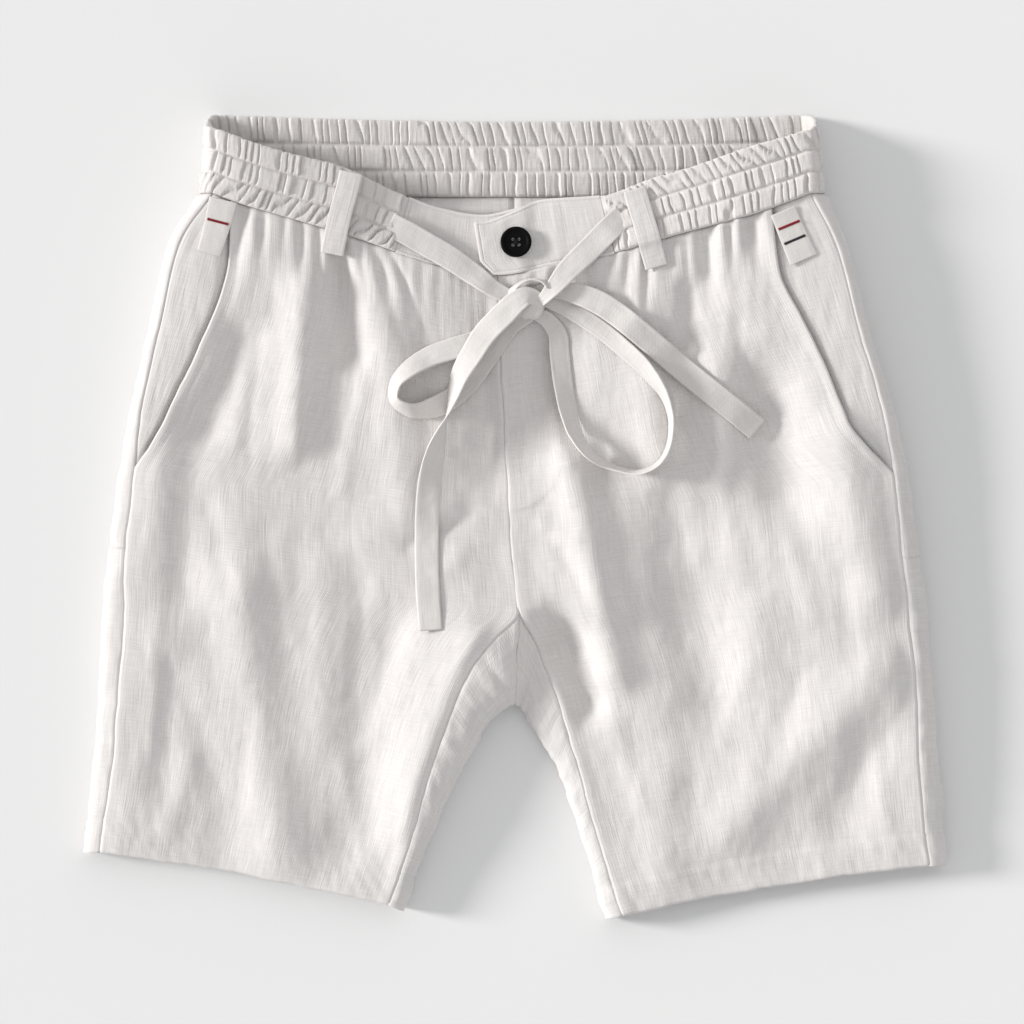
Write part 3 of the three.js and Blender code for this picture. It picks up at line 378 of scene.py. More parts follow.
class Look:
    """A material and the nodes that make it."""

    def __init__(self, name, colour, roughness, metallic=0, sheen=0, coat=0, specular=0.5):
        self.material = bpy.data.materials.new(name)
        self.material.use_nodes = True
        self.material.diffuse_color = (*colour, 1)
        self.tree = self.material.node_tree
        self.shader = self.tree.nodes["Principled BSDF"]
        settings = {"Base Color": (*colour, 1), "Roughness": roughness, "Metallic": metallic,
                    "Sheen Weight": sheen, "Sheen Roughness": 0.45, "Coat Weight": coat,
                    "Specular IOR Level": specular}
        for name, value in settings.items():
            self.shader.inputs[name].default_value = value

    def node(self, kind, settings=None, sockets=None):
        node = self.tree.nodes.new(kind)
        for name, value in (settings or {}).items():
            setattr(node, name, value)
        for name, value in (sockets or {}).items():
            self.put(node.inputs[name], value)
        return node

    def put(self, socket, value):
        value = value.socket if isinstance(value, Value) else value
        if isinstance(value, bpy.types.NodeSocket):
            self.tree.links.new(value, socket)
        else:
            socket.default_value = value

    def cut(self):
        """The place on the flat cloth, in metres."""
        return self.node("ShaderNodeUVMap", dict(uv_map="cut")).outputs["UV"]

    def attribute(self, name):
        return Value(self, self.node("ShaderNodeAttribute", dict(attribute_name=name)).outputs["Fac"])

    def object_place(self):
        return self.node("ShaderNodeTexCoord").outputs["Object"]

    def spots(self, place, size, detail=2.0, roughness=0.5):
        """Noise from 0 to 1 whose bumps have this size in metres, one number or one per axis."""
        size = size if isinstance(size, tuple) else (size, size, size)
        scaled = self.node("ShaderNodeMapping", None,
                           {"Vector": place, "Scale": tuple(1 / s for s in size)}).outputs[0]
        node = self.node("ShaderNodeTexNoise", None, {
            "Vector": scaled, "Scale": 1.0, "Detail": detail, "Roughness": roughness})
        return Value(self, node.outputs["Fac"])

    def parts(self, place):
        node = self.node("ShaderNodeSeparateXYZ", None, {0: place})
        return [Value(self, node.outputs[k]) for k in range(3)]

    def blend(self, first, second, share):
        node = self.node("ShaderNodeMix", dict(data_type="RGBA"), {
            0: share, 6: first, 7: second})
        return node.outputs[2]

    def colour(self, value):
        self.put(self.shader.inputs["Base Color"], value)

    def roughness(self, value):
        self.put(self.shader.inputs["Roughness"], value)

    def relief(self, height, depth, strength=1.0):
        node = self.node("ShaderNodeBump", None, {
            "Strength": strength, "Distance": depth, "Height": height})
        self.put(self.shader.inputs["Normal"], node.outputs[0])


def tinted(colour, amount):
    return (*(min(1, c * amount) for c in colour), 1)


def linen_look(name, colour, thread=0.0006, slub=1.0, wear_highlight_gain=0.06):
    """Plain weave with slubs both ways, cloudy dye, and edges and seam ridges mixed toward a lighter
    colour, partly as rubbed wear and partly as a painted highlight.
    """
    look = Look(name, colour, 0.9, sheen=0.25)
    cut = look.cut()
    across, along, _ = look.parts(cut)
    weave = (across * (math.pi / thread)).sine() * (along * (math.pi / thread)).sine()
    warp = look.spots(cut, (thread * 1.5, 0.02, 1), 2)
    weft = look.spots(cut, (0.016, thread * 1.5, 1), 2)
    strands = look.spots(cut, (0.0032, 0.05, 1), 3)
    cloud = look.spots(cut, (0.035, 0.06, 1), 3)
    tone = (warp + weft) * (0.75 * slub) + strands * 0.4 + cloud * 0.6 - (0.75 * slub + 0.5) + 0.5
    share = tone.clamped()
    # painted highlight mixed with rubbed wear: the cloth's edges and seam ridges are made lighter
    wear_and_highlight = look.attribute("edge") * (look.spots(cut, 0.006, 2) * 1.2).clamped()
    base = look.blend(tinted(colour, 0.83), tinted(colour, 1.11), share)
    look.colour(look.blend(base, tinted(colour, 1 + wear_highlight_gain), wear_and_highlight))
    look.roughness((0.84 + share * 0.12).clamped())
    look.relief(weave * 0.3 + (warp + weft) * (1.5 * slub) + strands * 1.1, 0.00035, 0.6)
    return look.material


def tape_look(name, colour):
    """Folded strip of the same cloth, finer and flatter, with edges mixed toward a lighter colour, partly
    as rubbed wear and partly as a painted highlight.
    """
    look = Look(name, colour, 0.88, sheen=0.2)
    cut = look.cut()
    across, along, _ = look.parts(cut)
    weave = (across * (math.pi / 0.0006)).sine() * (along * (math.pi / 0.0006)).sine()
    warp = look.spots(cut, (0.012, 0.001, 1), 2)
    weft = look.spots(cut, (0.001, 0.012, 1), 2)
    cloud = look.spots(cut, (0.012, 0.03, 1), 3)
    share = ((warp + weft) * 0.6 + cloud * 0.7 - 0.45).clamped()
    # painted highlight mixed with rubbed wear: the strip's edges are made lighter
    wear_and_highlight = look.attribute("edge") * 0.6
    base = look.blend(tinted(colour, 0.91), tinted(colour, 1.07), share)
    look.colour(look.blend(base, tinted(colour, 1.07), wear_and_highlight))
    look.roughness((0.82 + share * 0.1).clamped())
    look.relief(weave * 0.3 + (warp + weft) * 1.2, 0.0003, 0.5)
    return look.material


def thread_look(name, colour, sheen=0.3):
    look = Look(name, colour, 0.7, sheen=sheen, specular=0.3)
    place = look.object_place()
    twist = look.spots(place, 0.0006, 2)
    look.colour(look.blend(tinted(colour, 0.82), tinted(colour, 1.12), twist))
    look.roughness((0.6 + twist * 0.25).clamped())
    look.relief(twist, 0.0002, 0.6)
    return look.material


def button_look(name, colour):
    look = Look(name, colour, 0.4, specular=0.05)
    place = look.object_place()
    marks = look.spots(place, 0.0009, 4)
    cloud = look.spots(place, 0.006, 2)
    look.colour(look.blend(tinted(colour, 0.7), tinted(colour, 1.9), cloud))
    look.roughness((0.3 + marks * 0.3).clamped())
    look.relief(marks, 0.0001, 0.35)
    return look.material


LINEN = linen_look("linen_undyed", (0.715, 0.688, 0.672))
# painted shade: the gathered waistband is the same linen as the panels, given a darker copy of its colour
SHADED_BAND_LINEN = linen_look("linen_band_shaded", (0.69, 0.66, 0.64))
TAPE = tape_look("tape_undyed", (0.685, 0.658, 0.635))
THREAD = thread_look("thread_undyed", (0.62, 0.585, 0.56))
RED = thread_look("thread_red", (0.27, 0.012, 0.02))
CHARCOAL = thread_look("thread_charcoal", (0.022, 0.022, 0.028))
BUTTON = button_look("button_black", (0.003, 0.0028, 0.003))
BLACK_THREAD = thread_look("thread_black", (0.004, 0.004, 0.004), sheen=0)


# ---------------------------------------------------------------- making pieces
def to_metres(points):
    return (np.asarray(points, float) + CENTRING) * MM


def add_object(name, data):
    obj = bpy.data.objects.new(name, data)
    bpy.context.scene.collection.objects.link(obj)
    return obj


def mesh_object(name, bm):
    mesh = bpy.data.meshes.new(name)
    bm.to_mesh(mesh)
    bm.free()
    return add_object(name, mesh)


def finish_piece(name, bm, look, replaces=(), smooth_faces=True):
    obj = mesh_object(name, bm)
    obj.data.polygons.foreach_set("use_smooth", np.full(len(obj.data.polygons), smooth_faces))
    obj.data.materials.append(look)
    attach(obj, "root")
    if replaces:
        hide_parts(*replaces)
    return obj


def normals_of(points, outward=1):
    along = np.gradient(points, axis=0)
    across = np.gradient(points, axis=1)
    normal = np.cross(across, along)
    size = np.linalg.norm(normal, axis=-1, keepdims=True)
    return outward * normal / np.maximum(size, 1e-9)


def grid_mesh(points, flat_x, flat_y, wear_and_highlight):
    """A mesh over points[row, column], with each place on the flat cloth and its share of the lighter edge
    colour (rubbed wear and painted highlight).
    """
    rows, columns = points.shape[:2]
    bm = bmesh.new()
    cut = bm.loops.layers.uv.new("cut")
    # share of the lighter edge colour: rubbed wear and painted highlight
    edge = bm.verts.layers.float.new("edge")
    bmesh.ops.create_grid(bm, x_segments=columns - 1, y_segments=rows - 1, size=0.5)
    here = np.array([v.co[:2] for v in bm.verts]) + 0.5
    column = np.rint(here[:, 0] * (columns - 1)).astype(int)
    row = np.rint(here[:, 1] * (rows - 1)).astype(int)
    places = to_metres(points)[row, column].tolist()
    for vert, place, share in zip(bm.verts, places, wear_and_highlight[row, column].tolist()):
        vert.co = place
        vert[edge] = share
    flat = np.stack([flat_x[column], flat_y[row]], -1).tolist()
    for face in bm.faces:
        for loop in face.loops:
            loop[cut].uv = flat[loop.vert.index]
    return bm, row, column


class Cloth:
    """A sheet of cloth: points[row, column] of the middle of its wall, and the way out of it."""

    def __init__(self, points, outward, wall=WALL):
        self.points = points
        self.normals = normals_of(points, outward)
        self.outward = outward
        self.wall = wall
        self.edge = np.zeros(points.shape[:2])
        self.keep = np.ones((points.shape[0] - 1, points.shape[1] - 1), bool)

    def puff(self, amount):
        self.points = self.points + self.normals * np.asarray(amount)[..., None]
        self.normals = normals_of(self.points, self.outward)
        return self

    def face(self):
        return self.points + self.normals * (self.wall / 2)

    def over(self, x, y, reach=3.2):
        """Point and way up of the cloth's upper face at (x, y), or None where it has no cloth."""
        top = self.face().reshape(-1, 3)
        away = (top[:, 0] - x) ** 2 + (top[:, 1] - y) ** 2
        k = away.argmin()
        if away[k] > reach * reach:
            return None
        normal = self.normals.reshape(-1, 3)[k]
        if normal[2] < 0.25:
            return None
        z = top[k, 2] - (normal[0] * (x - top[k, 0]) + normal[1] * (y - top[k, 1])) / normal[2]
        return np.array([x, y, z]), normal

    def make(self, name, look, slot, replaces=()):
        flat_x = lengths_along(self.points, 1).mean(0) * MM
        flat_y = np.median(lengths_along(self.points, 0), axis=1) * MM
        bm, row, column = grid_mesh(self.points, flat_x, flat_y, self.edge)
        if not self.keep.all():
            gone = [f for f in bm.faces if not self.keep[
                min(row[v.index] for v in f.verts), min(column[v.index] for v in f.verts)]]
            bmesh.ops.delete(bm, geom=gone, context="FACES")
        if self.outward < 0:
            bmesh.ops.reverse_faces(bm, faces=bm.faces)
        piece = finish_piece(name, bm, look, replaces)
        wall = piece.modifiers.new("wall", "SOLIDIFY")
        wall.thickness = self.wall * MM
        wall.offset = 0
        return piece


def eased(count, length, fine=3.0, share=0.05):
    """Shares of a row, closer together in the first and last few millimetres."""
    u = np.linspace(0, 1, count + 1)
    near = min(0.2, fine / length)
    return np.interp(u, [0, share, 1 - share, 1], [0, near, 1 - near, 1])


def seam_form(distance, ridge=0.0):
    """A seam's groove, with the layers of its allowance as a low ridge beside it."""
    return ridge * (1 - smooth((distance - 4.5) / 3)) - (0.55 + ridge) * np.exp(-((distance / 0.8) ** 2))


def front_cloth(side):
    v = np.linspace(0, 1, 226)
    level = LEVEL_AT(v)
    edge = np.where(level < MOUTH_END, mouth_across(side, level), 0)
    u = eased(128, 240)
    across = edge[:, None] + (1 - edge[:, None]) * u[None, :]
    level = np.broadcast_to(level[:, None], across.shape)
    x, y, z, below = front_point(side, level, across)
    width = row_width(side, level)
    from_edge = (across - edge[:, None]) * width
    from_inner = (1 - across) * width
    at_mouth = smooth(4 * (MOUTH_END - level))
    at_centre = smooth((CROTCH - level) * 6)
    near = smooth(from_edge / 14) * smooth(from_inner / 12)
    z = z + near * (small_wrinkles(side, x, y, below)
                    + CREASE_DEPTH * fold_height(CREASES[side], x, y))
    z = z + MOUTH_OPEN * np.exp(-from_edge / 8) * at_mouth
    z = z + seam_form(from_edge, 0.25) * (1 - at_mouth)
    z = z + at_mouth * (0.5 * (1 - smooth((from_edge - 4.5) / 1.2)) - 0.35 * bump(from_edge - 5.2, 0.7)
                        - 0.8 * bump(from_edge, 0.5))
    if side == RIGHT:
        bend = np.sqrt(np.clip(1 - ((FLY_BEND - y) / 35) ** 2, 0, 1))
        reach = np.where(y > FLY_BEND, FLY_WIDTH, FLY_WIDTH * bend)
        on_fly = at_centre * smooth((reach - from_inner) / 2 + 0.5)
        z = z + FLY_STEP * on_fly - 0.5 * at_centre * bump(reach - from_inner - 1.2, 0.8) * (y > 2)
        puckers = 0.3 * noise(x / 9, y / 5.5, 71) * bump(reach - from_inner, 6) * at_centre
        z = z + puckers - (0.7 * bump(from_inner, 0.5)) * at_centre
        z = z + (1 - at_centre) * seam_form(from_inner, 0.3)
    else:
        z = z + at_centre * seam_form(from_inner) + (1 - at_centre) * seam_form(from_inner, 0.3)
    # the hem: a second layer, its stitch line, and the ripples that the stitching draws
    from_hem = lengths_along(np.stack([x, y, z], -1)[::-1], 0)[::-1]
    on_hem = smooth((HEM_DEPTH - from_hem) / 1.4 + 0.5)
    toward_seams = np.exp(-from_edge / 42) + np.exp(-from_inner / 42) + 0.25
    ripples = noise((x + 0.5 * y) / 5.5, y / 16, 72 + side) * toward_seams
    z = z + 0.5 * on_hem - 0.45 * bump(from_hem - HEM_DEPTH, 0.9)
    z = z + 0.5 * ripples * bump(from_hem - 12, 13) * smooth(from_edge / 5) * smooth(from_inner / 5)
    z = z - 0.9 * np.exp(-from_hem / 0.8)
    cloth = Cloth(unevenly(np.stack([x, y, z], -1)), outward=side)
    cloth.edge = np.maximum.reduce([
        bump(from_edge - 1.5, 1.6), bump(from_inner - 1.5, 1.6) * 0.8, bump(from_hem, 2.5),
        0.5 * bump(from_hem - HEM_DEPTH, 1.5)])
    cloth.from_hem = from_hem
    return cloth


def facing_cloth(side):
    v = np.linspace(0, 1, 90)
    level = MOUTH_END * v * 0.999
    mouth = mouth_across(side, level)
    width = row_width(side, level)
    end = mouth + FACING_UNDER * smooth((3.7 - level) / 1.4) / width
    u = eased(40, 50, fine=2.5, share=0.1)
    across = end[:, None] * u[None, :]
    level = np.broadcast_to(level[:, None], across.shape)
    x, y, z, below = front_point(side, level, across)
    past = across - mouth[:, None]
    from_side = across * width[:, None]
    z = z - 0.7 * smooth(across / np.maximum(mouth[:, None], 1e-6))
    dip = smooth(past * width[:, None] / 4.5 + 1) * smooth(mouth[:, None] * width[:, None] / 12)
    z = z - 0.6 - 1.9 * dip - 0.4 * smooth(past / np.maximum(1e-6, (end - mouth)[:, None]))
    inside = smooth(from_side / 8) * smooth((mouth[:, None] - across) * width[:, None] / 6)
    z = z + inside * (0.35 * noise(x / 9, y / 26, 31 + side) + 0.12 * noise(x / 4, y / 12, 33 + side))
    z = z + seam_form(from_side, 0.2)
    cloth = Cloth(unevenly(np.stack([x, y, z], -1)), outward=side)
    cloth.edge = bump(from_side - 1.5, 1.6)
    return cloth


def fold_point(top, out_xy, floor, turn):
    """From the top point over the outermost point to the floor, at a turn from 0 to 1."""
    away = out_xy - top[..., :2]
    width = np.linalg.norm(away, axis=-1)
    away = away / np.maximum(width, 1e-9)[..., None]
    rise = (top[..., 2] - floor) / 2
    angle = math.pi * (0.5 - turn)
    reach = np.where(turn < 0.5, width * np.cos(angle),
                     width - np.maximum(FLOOR_TURN, width * 0.5) * (1 - np.cos(angle)))
    place = top[..., :2] + away * reach[..., None]
    return np.concatenate([place, (floor + rise * (1 + np.sin(angle)))[..., None]], -1)


def back_cloth(side):
    floor = CLOTH / 2
    crotch_row, last_row = 116, 226
    v = np.concatenate([np.linspace(0, 1, crotch_row + 1) * 0.535,
                        0.535 + np.linspace(0, 1, last_row - crotch_row + 1)[1:] * 0.465])
    level = LEVEL_AT(v)
    level[crotch_row] = CROTCH
    half = HALF[side]
    outer_count, flat_count, inner_count = 30, 42, 24
    zero = np.zeros_like(level)
    top = np.stack(front_point(side, level, zero)[:3], -1)
    out = np.stack([half["outer"](level) - side * CLOTH / 2, top[:, 1]], -1)
    turns = eased(outer_count, 45, fine=2.5, share=0.1)
    outer_fold = np.stack([fold_point(top, out, floor, np.full_like(level, t)) for t in turns], 1)
    inseam_level = np.maximum(level, CROTCH)
    inseam = np.stack(front_point(side, inseam_level, zero + 1)[:3], -1)
    fold_xy = np.stack([half["foldX"](level), half["foldY"](level)], -1)
    inner_turns = eased(inner_count, 45, fine=2.5, share=0.1)[::-1]
    inner_fold = np.stack([fold_point(inseam, fold_xy, floor, np.full_like(level, t))
                           for t in inner_turns], 1)
    centre = np.stack([zero, half["foldY"](level), zero + floor], -1)
    to = np.where((level < CROTCH)[:, None], centre, inner_fold[:, 0])
    start = outer_fold[:, -1]
    t = np.linspace(0, 1, flat_count + 1)[1:]
    flat = start[:, None] + (to - start)[:, None] * t[None, :, None]
    flat[..., 1] += 20 * (t * (1 - t))[None, :] * smooth((level - 6) / 6)[:, None]
    points = np.concatenate([outer_fold, flat, inner_fold[:, 1:]], 1)
    upper = level < CROTCH
    corner = outer_count + flat_count
    points[upper, corner:] = points[upper, corner:corner + 1] + (
        np.arange(points.shape[1] - corner)[None, :, None] * np.array([0, 0, 1e-3]))
    cloth = Cloth(points, outward=-side)
    columns = np.arange(points.shape[1])
    walked = lengths_along(points, 1)
    from_side = walked
    from_inseam = np.maximum(0, walked[:, -1:] - walked)
    from_hem = lengths_along(points[::-1], 0)[::-1]
    on_floor = bump(points[..., 2] - floor, 1.5)
    amount = seam_form(from_side)
    lower = ~upper[:, None] & np.ones_like(amount, bool)
    amount = amount + np.where(lower, seam_form(from_inseam), 0)
    seed = 80 if side == LEFT else 90
    turned = smooth(from_side / 5) * np.where(lower, smooth(from_inseam / 5), 1)
    stretch = (noise(walked / 14, v[:, None] * 26, seed) * 0.55
               + noise(walked / 8, v[:, None] * 60, seed + 1) * 0.3)
    inner_strip = np.where(lower & (columns >= corner)[None, :], 1.5, 1.0)
    amount = amount + turned * stretch * (1 - on_floor) * inner_strip
    lift = 0.35 * np.abs(noise(points[..., 0] / 30, points[..., 1] / 44, seed + 2))
    lift = lift + 0.12 * np.abs(noise(points[..., 0] / 9, points[..., 1] / 15, seed + 3))
    x, y = points[..., 0], points[..., 1]
    puffed = 7 * bump(x + 26, 44) * smooth((205 - y) / 9) * smooth((y - 120) / 50)
    lift = (lift + puffed * (1 + 0.1 * noise(x / 9, y / 4, 86))
            - 1.2 * puffed / 7 * bump(y - 193 - 0.05 * x, 1.6))
    amount = amount - on_floor * lift
    on_hem = smooth((HEM_DEPTH - from_hem) / 1.4 + 0.5)
    ripples = 0.4 * noise(walked / 5.5, from_hem / 14, seed + 4) * bump(from_hem - 12, 12)
    amount = amount + (1 - on_floor) * (0.4 * on_hem - 0.45 * bump(from_hem - HEM_DEPTH, 0.9)
                                        + ripples * turned)
    amount = amount - on_floor * 0.35 * bump(from_hem - HEM_DEPTH, 0.9)
    rise = bump((level[:, None] - CROTCH) * 6, 0.12) * (columns >= corner)[None, :]
    amount = np.where((rise > 0.5) & (columns > corner)[None, :], -0.4, amount)
    cloth.puff(amount)
    cloth.points[..., 2] = np.maximum(cloth.points[..., 2], WALL / 2 + 0.02)
    cloth.points = unevenly(cloth.points)
    cloth.normals = normals_of(cloth.points, cloth.outward)
    cloth.keep[:crotch_row, corner:] = False
    cloth.edge = np.maximum.reduce([bump(from_side - 1.5, 1.6), bump(from_hem, 2.5),
                                    np.where(lower, bump(from_inseam - 1.5, 1.6), 0)])
    cloth.from_hem, cloth.corner = from_hem, corner
    return cloth


# ---------------------------------------------------------------- waistband
def band_point(x_top, x_foot, down):
    return np.stack(np.broadcast_arrays(
        mix(x_top, x_foot, down), mix(BAND_TOP["y"](x_top), BAND_FOOT["y"](x_foot), down),
        mix(BAND_TOP["z"](x_top), BAND_FOOT["z"](x_foot), down)), -1)


def back_band_point(along, down):
    ends = {side: mix(BAND_HALF[side]["outerTop"], BAND_HALF[side]["outerFoot"], down)
            - side * (FLOOR_TURN + SEAM * 0.5) for side in (LEFT, RIGHT)}
    x = mix(ends[LEFT], ends[RIGHT], along)
    top = mix(BACK_BAND["top"], BACK_BAND["top"] - BACK_BAND["sag"], np.sin(math.pi * along))
    y = mix(top, BACK_BAND["foot"], down)
    return np.stack(np.broadcast_arrays(x, y, BAND / 2), -1)


def band_middle(down):
    """The gathered waistband from the plain front round the back to the plain front again."""
    sections = []
    for side in (LEFT, RIGHT):
        half = BAND_HALF[side]
        t = np.linspace(0, 1, 251)[:, None]
        gap = side * SEAM / 2
        front = band_point(mix(half["plainTop"] + gap, half["sideTop"], t),
                           mix(half["plainFoot"] + gap, half["sideFoot"], t), down)
        top = np.repeat(front[-1:], 70, 0)
        out_x = mix(half["outerTop"], half["outerFoot"], down)
        out = np.stack(np.broadcast_arrays(out_x, top[..., 1]), -1)
        turn = np.linspace(0, 1, 70)[:, None] * np.ones_like(down)
        fold = fold_point(top, out, BAND / 2, turn)
        rise = (BACK_BAND["top"] - BAND_TOP["y"](half["sideTop"])) * (1 - down)
        fold[..., 1] += rise * smooth(turn * 1.25)
        sections.append((front, fold[1:]))
    back = back_band_point(np.linspace(0, 1, 741)[:, None], down)
    (front_left, fold_left), (front_right, fold_right) = sections
    return np.concatenate([front_left, fold_left, back[1:-1], fold_right[::-1], front_right[::-1]])


CHANNEL = curve([0, 0.03, 0.1, 0.29, 1 / 3, 0.377, 0.62, 2 / 3, 0.713, 0.93, 0.97, 1],
                [0.4, 0.85, 1, 0.95, 0.05, 0.95, 0.95, 0.05, 0.95, 1, 0.8, 0.3])
CHANNEL_LEAN = {"left": (0.1, -0.25, -1.25), "right": (1.15, 0.15, -0.1), "inner": (-0.6, -0.55, -0.1)}


def gathered_ribs(walked, down, seed, face):
    """Pleats of the elastic channels: 0 in the creases between them and about 1 on their crests."""
    channel = np.clip(np.floor(down * 3), 0, 2)
    within = down * 3 - channel
    lean = np.choose(channel.astype(int), CHANNEL_LEAN[face]) * (within - 0.5)
    sway = 1 + (1.2 if face == "inner" else 0.45) * noise(walked / 34, channel * 3.3 + 0.5, seed)
    drift = (0.9 * noise(walked / 13, channel * 2.7 + 0.35, seed + 1)
             + 0.12 * noise(walked / 9, down * 5, seed + 5))
    phase = walked / RIB_PITCH + lean * sway + drift + channel * 0.31
    which = np.floor(phase)
    share = np.clip(phase - which, 0, 1)
    rise = 0.2 + 0.1 * noise(which * 2.3, channel + 0.4, seed + 4)
    slope = 0.3 + 0.35 * noise(which * 3.1, channel + 0.8, seed + 6)
    crest = smooth(share / rise) * (1 - slope * share) * (1 - smooth((share - 0.86) / 0.14))
    size = 0.9 + 0.5 * noise(which * 1.7, channel * 1.9 + 0.3, seed + 2)
    fine = 0.08 * noise(walked / 2.0, down * 7, seed + 3)
    return np.clip((crest * size + fine) * CHANNEL(down), -0.1, 1.25)


def band_cloth():
    width = BAND_WIDTH
    fine = [0, 0.35, 1.1, 2.1]
    inner = [3.6, 6, 8.5, 11, 13, 14.4, 15.4, 16, 16.67, 17.3, 17.9, 18.9, 20.3, 22.6, 25]
    across = np.array([*fine, *inner, *(width - np.array(fine + inner[:-1]))[::-1]])
    down = across / width
    near = np.minimum(across, width - across)
    round_off = np.sqrt(1 - (1 - np.clip(near / (BAND / 2), 0, 1)) ** 2)
    middle = band_middle(down[None, :])
    along = np.gradient(middle, axis=0)
    sideways = np.gradient(middle, axis=1)
    normal = np.cross(along, sideways)
    normal /= np.maximum(np.linalg.norm(normal, axis=-1, keepdims=True), 1e-9)
    walked = lengths_along(middle, 0)[:, len(down) // 2][:, None]
    grown = np.minimum(walked, walked[-1] - walked)
    ends = smooth(grown / 4)
    on_floor = smooth(0.8 - normal[..., 2] * 1.6)
    leftward = walked < walked[-1] / 2
    outer_rib = np.where(leftward, gathered_ribs(walked, down[None, :], 21, "left"),
                         gathered_ribs(walked, down[None, :], 21, "right"))
    inner_rib = gathered_ribs(walked, down[None, :], 25, "inner")
    outer = (BAND / 2) * round_off + ends * round_off * mix(
        RIB * outer_rib, -1.1 * (1 - outer_rib), on_floor)
    inner = (BAND / 2) * round_off + ends * round_off * mix(
        0.45 * RIB * inner_rib, RIB * inner_rib, on_floor)
    outside = middle + normal * outer[..., None]
    inside = middle - normal * inner[..., None]
    scallops = 0.6 * (gathered_ribs(walked[:, 0], np.zeros(len(walked)) + 0.12, 25, "inner") - 0.6)
    for k, share in enumerate([1, 0.9, 0.6, 0.3]):
        outside[:, k, 1] += scallops * share
        inside[:, k, 1] += scallops * share
    loop = np.concatenate([outside, inside[:, -2:0:-1], outside[:, :1]], 1)
    return loop, walked


def make_band():
    loop, walked = band_cloth()
    loop[..., 2] = np.maximum(loop[..., 2], 0.02)
    flat_y = lengths_along(loop, 1)[len(loop) // 2] * MM
    bm, _, _ = grid_mesh(loop.swapaxes(0, 1), walked[:, 0] * MM * 1.6, flat_y,
                         np.full(loop.shape[1::-1], 0.3))
    bmesh.ops.remove_doubles(bm, verts=bm.verts, dist=1e-6)
    rims = [e for e in bm.edges if e.is_boundary]
    bmesh.ops.holes_fill(bm, edges=rims, sides=0)
    bmesh.ops.recalc_face_normals(bm, faces=bm.faces)
    # the gathered waistband takes the darker copy of the linen: painted shade
    return finish_piece("waistband_gathered", bm, SHADED_BAND_LINEN,
                        ("waistband_left", "waistband_right", "waistband_back"))


TAB_RAISE = BAND + LIFT


def tab_raise(x):
    return TAB_RAISE * (1 - smooth((x - 3) / 12))


def tab_slope(x):
    """Share of the band's width by which the tab's top edge lies below the band's."""
    return 0.13 * (1 - smooth((x + 26) / 40))


def slab_form(u_mm, v_mm, width, height):
    """A pressed strip: topstitch grooves inside its edges, and edges that roll over."""
    near = np.minimum(np.minimum(u_mm, width - u_mm), np.minimum(v_mm, height - v_mm))
    return -0.3 * bump(near - 2.2, 0.5) - 0.35 * np.exp(-near / 0.35), near


def plain_band_cloth():
    half = BAND_HALF[LEFT]
    down = eased(34, 50, fine=3.2, share=0.16)[:, None]
    t = eased(60, 74, fine=3.2, share=0.1)[None, :]
    x = mix(mix(half["plainTop"], half["plainFoot"], down) + 0.2, 1, t)
    below = band_point(x, x, down)
    form, near = slab_form(t * 73.5 + 0 * down, down * 50 + 0 * t, 400, 50)
    ripple = 0.3 * noise(x / 14, down * 2.2, 51) + 0.14 * noise(x / 5, down * 5, 52)
    below[..., 2] += form + ripple * smooth(near / 4)
    plain = Cloth(below, outward=-1, wall=2.0)
    plain.edge = bump(near, 1.2)
    tip = np.interp(down, [0, 0.76, 1], [-25.6, -21.6, -13.4])
    t = eased(76, 78, fine=3.2, share=0.1)[None, :]
    half = BAND_HALF[RIGHT]
    x = mix(tip, mix(half["plainTop"], half["plainFoot"], down) - 0.2, t)
    tab = band_point(x, x, mix(tab_slope(x), 1, down))
    form, near = slab_form(t * 78 + 0 * down, down * 50 + 0 * t, 400, 50)
    ripple = 0.3 * noise(x / 15, down * 2.0, 53) + 0.14 * noise(x / 5, down * 5, 54)
    ripple = ripple + 0.5 * bump(x - 24 - 6 * down, 4) * smooth(near / 6)
    tab[..., 2] += tab_raise(x) + form + ripple * smooth(near / 4) * 0.9
    tab = Cloth(tab, outward=-1, wall=2.0)
    tab.edge = bump(near, 1.2)
    return plain, tab


def soften_edges(piece, width=0.0006):
    bevel = piece.modifiers.new("soft_edge", "BEVEL")
    bevel.width = width
    bevel.segments = 2
    bevel.limit_method = "ANGLE"
    bevel.angle_limit = math.radians(55)
    return piece


# ---------------------------------------------------------------- what lies on the cloth
GROUND = []


def ground(x, y, default=0.0):
    found = [hit[0][2] for hit in (cloth.over(x, y) for cloth in GROUND) if hit]
    return max(found) if found else default


class BandGround:
    """The upper face of the gathered waistband, for what lies on it."""

    def __init__(self):
        loop, _ = band_cloth()
        self.top = loop[:, :len(loop[0]) // 2 + 1].reshape(-1, 3)
        self.top = self.top[self.top[:, 2] > 12]

    def over(self, x, y, reach=2.5):
        away = (self.top[:, 0] - x) ** 2 + (self.top[:, 1] - y) ** 2
        near = away < reach * reach
        if not near.any():
            return None
        return np.array([x, y, self.top[near, 2].max()]), np.array([0, 0, 1.0])


